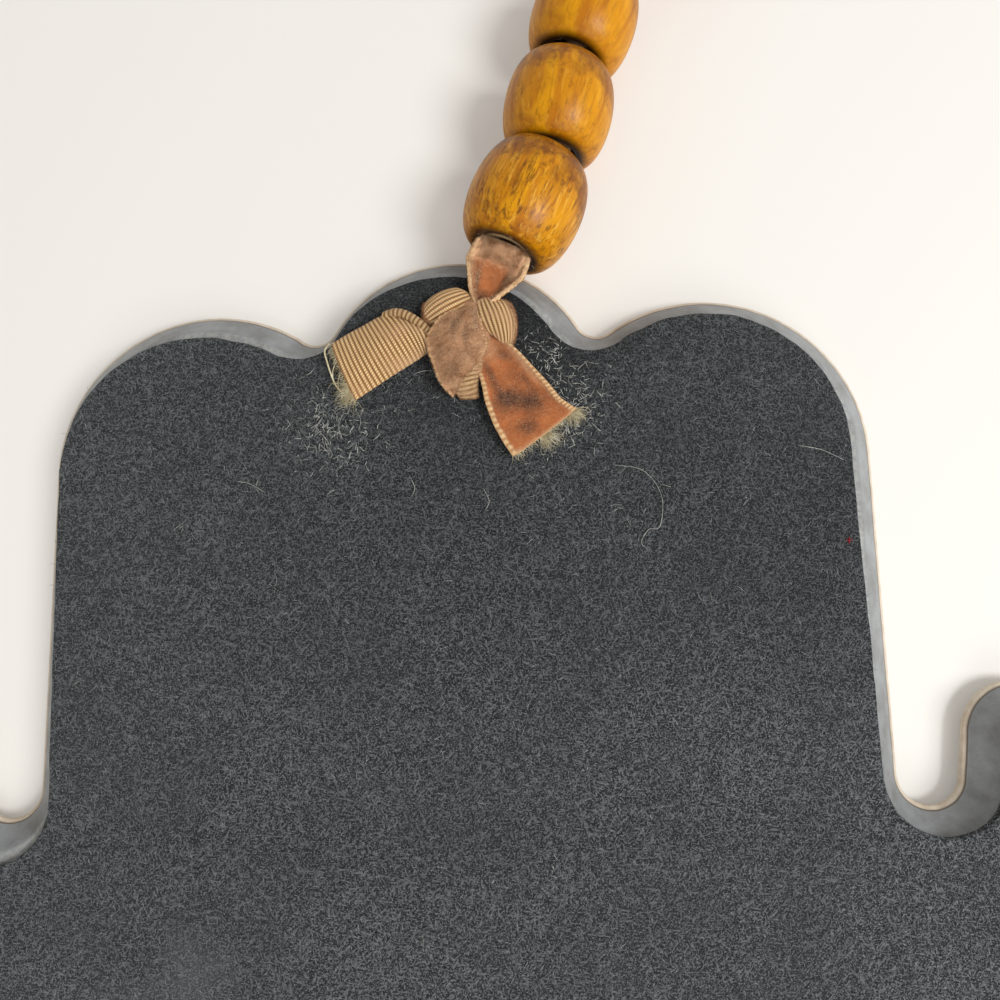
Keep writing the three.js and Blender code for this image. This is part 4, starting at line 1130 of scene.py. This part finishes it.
lowWrapShape = {  # the same turn seen from its ribbed side as it dives under
    **ribsUp, "stations": byKnot(0.45, [
        (0.9, -3.4, 1.9, 1, 0.1, 3, -30),
        (0.6, -5.4, 2.3, 1, 0.16, 3.8, -44),
        (0.1, -7.3, 2.0, 1, 0.2, 4.2, -50),
        (0, -8.7, 1.2, 1, 0.16, 3.8, -44),
        (0.2, -9.4, 0.5, 1, 0, 3, -30),
    ]),
    "rows": 180, "cells": 30, "crumple": (0.24, 2.2, 17),
    "pitch": 0.45, "ribHeight": 0.06, "brushedAndShaded": [(0, 0.5, 9, 9, 0.9)],
}


def makeKnot():
    shapes = {"left": leftWrapShape, "right": rightWrapShape, "low": lowWrapShape,
              "centre": centreWrapShape}
    bands = {name: ribbonSection(shape) for name, shape in shapes.items()}
    skins = [ribbonSkin(shapes[name], bands[name]) for name in shapes]
    piece = makeRibbon("knot", joinSkins(skins), tanVelvet, "plaque")
    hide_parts("ribbon_knot")
    return bands


heartLook = {"reach": (3.5, 5.0, 1.6), "middle": (0.1, 0.2, 1.8), "across": 64, "rows": 32, "uneven": 0.2}


def makeHeart(look):
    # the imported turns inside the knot, as a flattened ball of ribbon that fills its hollows
    across, rows = look["across"], look["rows"]
    u, v = np.meshgrid(np.linspace(0, 2 * math.pi, across, endpoint=False),
                       np.linspace(0.05, math.pi - 0.05, rows))
    ball = np.stack([np.cos(u) * np.sin(v), np.sin(u) * np.sin(v), np.cos(v)], -1) * look["reach"]
    ball = ball + np.array(fromKnot(*look["middle"]))
    ball = ball + softNoise(ball, 4, 8)[..., None] * look["uneven"]
    lie = np.stack([ball[..., 0] / 40 + 0.45, ball[..., 1] / 10], -1).reshape(-1, 2)
    makePiece("knot_heart", ball, [gridFaces(rows, across), endFans(rows, across)], [tanVelvet], "plaque",
              {"lie": lie, "tone": lie * 0}, heal=True)


leftTailBand = makeBand("tail_left", leftTailShape, "plaque", rustVelvet, "ribbon_tail_left",
                        extra=[leftRollShape])
rightTailBand = makeBand("tail_right", rightTailShape, "plaque", rustVelvet, "ribbon_tail_right")
knotBands = makeKnot()
makeHeart(heartLook)

neckAcross = (0.904, -0.427)
neckShape = {  # hollow over the plaque's edge, swelling to fill the lowest bead's mouth
    **velvetUp, "stations": byKnot(0.45, [
        (1.9, 4.2, 1.7, *neckAcross, 1.6, 30),
        (2.7, 6.1, 1.5, *neckAcross, 5.6, 46),
        (3.65, 7.9, 1.3, *neckAcross, 8.6, 54),
        (4.5, 9.8, 1.5, *neckAcross, 9.8, 44),
        (5.2, 11.3, 2.6, *neckAcross, 9.4, 10),
        (5.75, 12.4, 3.8, *neckAcross, 8.8, -36),
        (6.15, 13.2, 4.05, *neckAcross, 8.4, -46),
    ]),
    "rows": 220, "cells": 52, "crumple": (0.16, 4, 18),
    "selvedge": 0.5, "dash": 0.08,
    "paintedSheen": [(1, 0.5, 0.3, 9, 0.9), (-1, 0.5, 0.25, 9, 0.9), (0, 1.05, 9, 0.34, 1.2)],
    "brushedAndShaded": [(-0.1, 0.12, 0.5, 0.14, 1), (0.5, 0.5, 0.2, 0.16, 0.9), (-0.5, 0.36, 0.16, 0.2, 0.8)],
}
neckBand = makeBand("neck_ribbon", neckShape, "neck", neckVelvet, "ribbon_neck")

coreLook = {
    "section": (8.4, 0.45, -46), "gap": 0.22, "height": 1.4, "firstHeight": 2.15, "firstStart": 1.05,
    "count": 7, "rows": 90, "cells": 28, "ribHeight": 0.08,
}


def makeCore(name, place, twistFrom, twistTo, first):
    # the strands inside a bead: an arched band that turns as it goes, from flat to on edge
    flat = unit(np.array([place["along"][1], -place["along"][0], 0]))
    up = np.cross(flat, place["along"])
    start = coreLook["firstStart"] if first else -beads["gap"] / 2 + coreLook["gap"]
    count = coreLook["count"]
    along = np.linspace(start, place["length"] + beads["gap"] / 2 - coreLook["gap"], count)[:, None]
    twist = np.radians(np.linspace(twistFrom, twistTo, count))[:, None]
    across = flat * np.cos(twist) + up * np.sin(twist)
    high = np.full((count, 1), coreLook["height"])
    high[0] = coreLook["firstHeight"] if first else high[0]
    line = place["mouth"] + place["along"] * along + np.cross(across, place["along"]) * high
    rest = np.tile(coreLook["section"], (count, 1))
    shape = {"stations": np.hstack([line, across, rest]), "top": "velvet", "bottom": "ribbed",
             "paintedSheen": [(0, 0, 9, 9, 1)], **{key: coreLook[key] for key in ("rows", "cells", "ribHeight")}}
    return makeBand("gathered_" + name, shape, "strand_" + name, tanVelvet, "ribbon_core_" + name)


coreBands = [makeCore(name, strand[index], 30 * index, 30 * (index + 1), index == 0)
             for index, name in enumerate(eachBead)]


def rimPoint(x, inset, z):
    tip = plaque["middleTip"]
    return (x, tip[1] + math.sqrt((tip[2] - inset) ** 2 - x**2), z)


frontLine = [
    (*plaque["hole"], plaque["feltTop"] + 0.9), (*plaque["hole"], plaque["ground"] + 3.2),
    (1.6, 85.4, plaque["ground"] + 0.7), (2.1, 87, 0.62), (3.8, 91, 0.62),
    *[rimPoint(*at) for at in ((4.4, 2.2, 0.62), (4.5, 0.2, 1), (4.6, -0.4, 2.3), (4.6, 0.15, 3.16),
                               (4.7, 1.8, 4.96), (4.7, 2.9, 7.5), (4.7, 4.1, 8.25), (4.7, 5.6, 8.1))],
]
frontShape = {  # the other strand: up the hole, along the front and back over the rim under the neck
    "stations": [(*place, 0.979, -0.204, 0, 4.8, 0.18, 0) for place in frontLine],
    "rows": 260, "cells": 44, "top": "velvet", "bottom": "ribbed", "ribHeight": 0.03, "doubled": 0.1,
    "selvedge": 0.03,
}
makeBand("front_ribbon", frontShape, "plaque", rustVelvet, "ribbon_front_strand")
print("ribbon made")


pileLook = {"radius": 0.018, "sunk": 0.03, "spread": 0.5}
piles = {  # band, body, count, length, seed, the two corners that it covers as shares, and its fibre
    "centre": (knotBands["centre"], "plaque", 9000, 0.42, 31, (0, 0), (1, 1), tanFibre),
    "neck_left": (neckBand, "neck", 3600, 0.4, 32, (0, 0), (1, 0.3), tanFibre),
    "neck_right": (neckBand, "neck", 3600, 0.4, 34, (0, 0.72), (1, 1), tanFibre),
    "neck_top": (neckBand, "neck", 5200, 0.45, 35, (0.62, 0.15), (1, 0.85), tanFibre),
    "neck_core": (coreBands[0], "strand_low", 1500, 0.4, 39, (0, 0), (0.14, 1), tanFibre),
    "tail": (rightTailBand, "plaque", 5200, 0.26, 33, (0, 0), (1, 1), tanFibre),
    "left_wrap": (knotBands["left"], "plaque", 1500, 0.4, 36, (0, 0), (1, 0.1), brownFibre),
    "right_wrap": (knotBands["right"], "plaque", 1200, 0.35, 37, (0.7, 0), (1, 1), brownFibre),
    "low_wrap": (knotBands["low"], "plaque", 900, 0.35, 38, (0, 0), (1, 1), brownFibre),
}


def makePile(name, band, body, count, length, seed, low, high, fibre):
    roots, normals, random = pickOn(band["top"], band["normal"], count, seed, low, high)
    directions = normals + random.normal(scale=pileLook["spread"], size=normals.shape)
    lengths, bends = random.uniform(0.4, 1, count) * length, random.uniform(0.1, 0.5, count)
    points, faces = strands(roots - normals * pileLook["sunk"], directions, lengths, pileLook["radius"],
                            bends, seed, rings=3)
    makePiece("pile_" + name, points, faces, [fibre], body)


for name, values in piles.items():
    makePile(name, *values)

frayLook = {"radius": 0.035, "droop": 0.35, "sunk": 0.3}
frays = {  # band, count, seed, where along the cut end as shares, spread, and lengths
    "fray_left": (leftTailBand, 150, 41, (0, 1), 0.4, (0.5, 1.6)),
    "fray_left_low": (leftTailBand, 150, 43, (0, 0.3), 0.5, (1.2, 3.4)),
    "fray_right": (rightTailBand, 130, 42, (0, 1), 0.3, (0.5, 1.5)),
    "tuft_corner": (rightTailBand, 90, 44, (0.9, 1), 0.35, (1.4, 2.6)),
    "tuft_foot": (rightTailBand, 70, 45, (0.42, 0.56), 0.22, (1.8, 3.2)),
}


def makeFray(name, band, count, seed, where, spread, reach):
    edge = band["top"][-1] * 0.5 + band["bottom"][-1] * 0.5
    random = np.random.default_rng(seed)
    at = random.uniform(*where, count) * (len(edge) - 1.001)
    i = at.astype(int)
    roots = edge[i] + (edge[i + 1] - edge[i]) * (at - i)[:, None] - band["tangent"][-1] * frayLook["sunk"]
    directions = band["tangent"][-1] + random.normal(scale=spread, size=(count, 3)) * (1, 1, 0.5)
    lengths, bends = random.uniform(*reach, count), random.uniform(0.1, 0.8, count)
    points, faces = strands(roots, directions, lengths, frayLook["radius"], bends, seed, rings=7,
                            droop=frayLook["droop"], floor=plaque["feltTop"] + 0.05)
    makePiece(name, points, faces, [threadFibre], "plaque")


for name, values in frays.items():
    makeFray(name, *values)

threadLook = {  # loose threads and long hairs, by their points: about the knot, then on the felt
    "loops": [
        ([(-20.5, -0.8, 2.2), (-21.3, -1.8, 1.7), (-21.0, -3.4, 1.3), (-20.5, -5.1, 1.1),
          (-19.7, -7, 1), (-18.5, -8.3, 0.9), (-17.2, -9.2, 0.8)], 0.13),
        ([(-19.4, -3.2, 1.9), (-20.1, -4.6, 1.4), (-20.2, -5.8, 1)], 0.07),
        ([(-18.9, -5.3, 1.8), (-19.4, -6.5, 1.2), (-19.3, -7.4, 0.9)], 0.07),
    ],
    "hairs": [
        [(23.5, 65.7), (27.7, 64.7), (30.2, 61.0), (29.8, 56.5), (28.1, 56.0), (27.0, 54.2),
         (27.9, 53.0)],
        [(-32.8, 64.8), (-30.7, 64.3), (-28.4, 63.0)], [(50.5, 67.8), (53.7, 67.1), (56.9, 65.5)],
        [(-6.0, 80.3), (-4.6, 80.8), (-3.1, 80.8)], [(-16.6, 74.8), (-17.3, 72.8), (-17, 70.6)],
        [(-14.6, 74.9), (-14, 73.4), (-14.3, 71.9)], [(-19.8, 74), (-20.6, 72.8), (-20.9, 71.2)],
        [(4.2, 62.6), (5, 60.8), (4.4, 59.4)], [(-6.8, 65), (-6, 63), (-6.6, 61.6)],
    ],
    "hairRadius": 0.028, "hairLie": (0.12, 0.25), "speckRadius": 0.07, "speckLie": 0.1,
    "speck": [[(56.4, 53.9), (56.9, 53.7), (57.3, 53.9)], [(56.8, 54.3), (56.9, 53.8), (56.7, 53.3)]],
}


def makeThreads(look):
    random, top = np.random.default_rng(61), plaque["feltTop"]
    loops = [threadSkin([fromKnot(*point) for point in path], radius) for path, radius in look["loops"]]
    lie, uneven = look["hairLie"]
    hairs = [threadSkin([(x, y, top + lie + random.uniform(0, uneven)) for x, y in path],
                        look["hairRadius"], 50, 5) for path in look["hairs"]]
    speck = [threadSkin([(x, y, top + look["speckLie"]) for x, y in path], look["speckRadius"], 12, 5)
             for path in look["speck"]]
    pieces = (("loose_threads", loops, threadFibre, "ribbon"), ("hairs", hairs, paleFibre, "felt"),
              ("red_speck", speck, redFibre, "felt"))
    for name, parts, fibre, slot in pieces:
        points, faces = joinPieces(parts)
        makePiece(name, points, faces, [fibre], "plaque", heal=True)


makeThreads(threadLook)

lintLook = {
    "patches": [  # centre, spread and count of the lint round the tails, and far out on the felt
        (15, 80, 2, 70), (18, 76, 2.6, 85), (14, 84, 1.6, 30), (17.5, 71.5, 2.4, 60),
        (-18.5, 72.5, 3, 110), (-17.5, 69, 3.4, 70), (-22, 75, 2.4, 60), (-9, 79, 4, 40),
        (14, 64, 5, 40), (44, 66, 14, 60), (10, 40, 26, 150), (-30, 60, 12, 60), (-5, 20, 26, 110),
    ],
    "length": (0.35, 1.7), "radius": 0.024, "near": 400, "nearRadius": 0.048, "rise": 0.12,
    "lies": (0.05, 0.3), "bend": (0.05, 0.4),
}


def makeLint(look):
    random = np.random.default_rng(51)
    places = [random.normal((x, y), spread, (count, 2)) for x, y, spread, count in look["patches"]]
    places = np.concatenate(places)
    places = places[insideOf(places, feltRing[::4])]
    count = len(places)
    roots = np.column_stack([places, random.uniform(*look["lies"], count) + plaque["feltTop"]])
    heading = random.uniform(0, 2 * math.pi, count)
    rise = random.normal(scale=look["rise"], size=count)
    directions = np.column_stack([np.cos(heading), np.sin(heading), rise])
    shortest, longest = look["length"]
    lengths = shortest + (longest - shortest) * random.uniform(0, 1, count) ** 2
    thick = np.where(np.arange(count) < look["near"], look["nearRadius"], look["radius"])
    bends = random.uniform(*look["bend"], count)
    points, faces = strands(roots, directions, lengths, thick, bends, 52, rings=5,
                            floor=plaque["feltTop"] + 0.04)
    makePiece("lint", points, faces, [paleFibre], "plaque")


makeLint(lintLook)
print("fibres made")

tableLook = {
    "half": 3, "drop": 2e-5, "white": tint(244, 242, 238), "pictured": tint(218, 215, 209),
    "far": tint(60, 60, 60), "farFrom": 0.3, "farTo": 1.1, "glow": (1.0, 0.975, 0.94, 1),
    "lift": 0.2, "farLift": 0.72,
}


def makeTable(look):
    mesh = bpy.data.meshes.new("table")
    half, low = look["half"], -look["drop"]
    corners = [(-half, -half, low), (half, -half, low), (half, half, low), (-half, half, low)]
    mesh.from_pydata(corners, [], [(0, 1, 2, 3)])
    table = bpy.data.objects.new("table", mesh)
    scene.collection.objects.link(table)
    material, n, shader = newMaterial("table_white", Roughness=0.6, Specular_IOR_Level=0.2,
                                      Emission_Color=look["glow"])
    seen = n.add("ShaderNodeLightPath").outputs["Is Camera Ray"]  # lifts the shadow in the picture only
    away = n.add("ShaderNodeVectorMath", {"operation": "LENGTH"}, i0=objectPlace(n)).outputs["Value"]
    far = n.between(away, look["farFrom"], look["farTo"])
    pictured = n.mix(far, look["pictured"], look["far"])
    n.feed(n.mix(seen, look["white"], pictured), shader, "Base Color")
    lift = n.plus(n.times(far, look["farLift"]), look["lift"])
    n.feed(n.times(seen, lift), shader, "Emission Strength")
    mesh.materials.append(material)


lights = {  # place, aim, size, power and colour
    "window": ((0.5, -0.1, 0.62), (0.01, 0.06, 0), 0.36, 4.7, (0.98, 0.99, 1.0)),
    "room": ((0.15, -0.5, 0.5), (0.01, 0.08, 0), 0.35, 1.2, (1.0, 0.98, 0.95)),
}


def makeLight(name, place, aim, size, power, colour):
    data = bpy.data.lights.new(name, "AREA")
    data.shape, data.size, data.energy, data.color = "DISK", size, power, colour
    light = bpy.data.objects.new(name, data)
    scene.collection.objects.link(light)
    direction = Vector(aim) - Vector(place)
    light.rotation_euler = direction.to_track_quat("-Z", "Y").to_euler()
    light.location = place


worldLook = {"strength": 0.42, "colour": (1.0, 0.972, 0.935, 1)}


def makeWorld(look):
    world = bpy.data.worlds.new("studio")
    scene.world = world
    world.use_nodes = True
    n = Nodes(world.node_tree)
    back = world.node_tree.nodes["Background"]
    back.inputs["Color"].default_value = look["colour"]
    ray = n.add("ShaderNodeLightPath")
    seen = n.math("MAXIMUM", ray.outputs["Is Camera Ray"], ray.outputs["Is Glossy Ray"])
    n.feed(n.plus(n.times(seen, 1 - look["strength"]), look["strength"]), back, "Strength")


makeTable(tableLook)
for name, values in lights.items():
    makeLight(name, *values)
makeWorld(worldLook)
scene.view_settings.view_transform = "Standard"
print("table and light made")
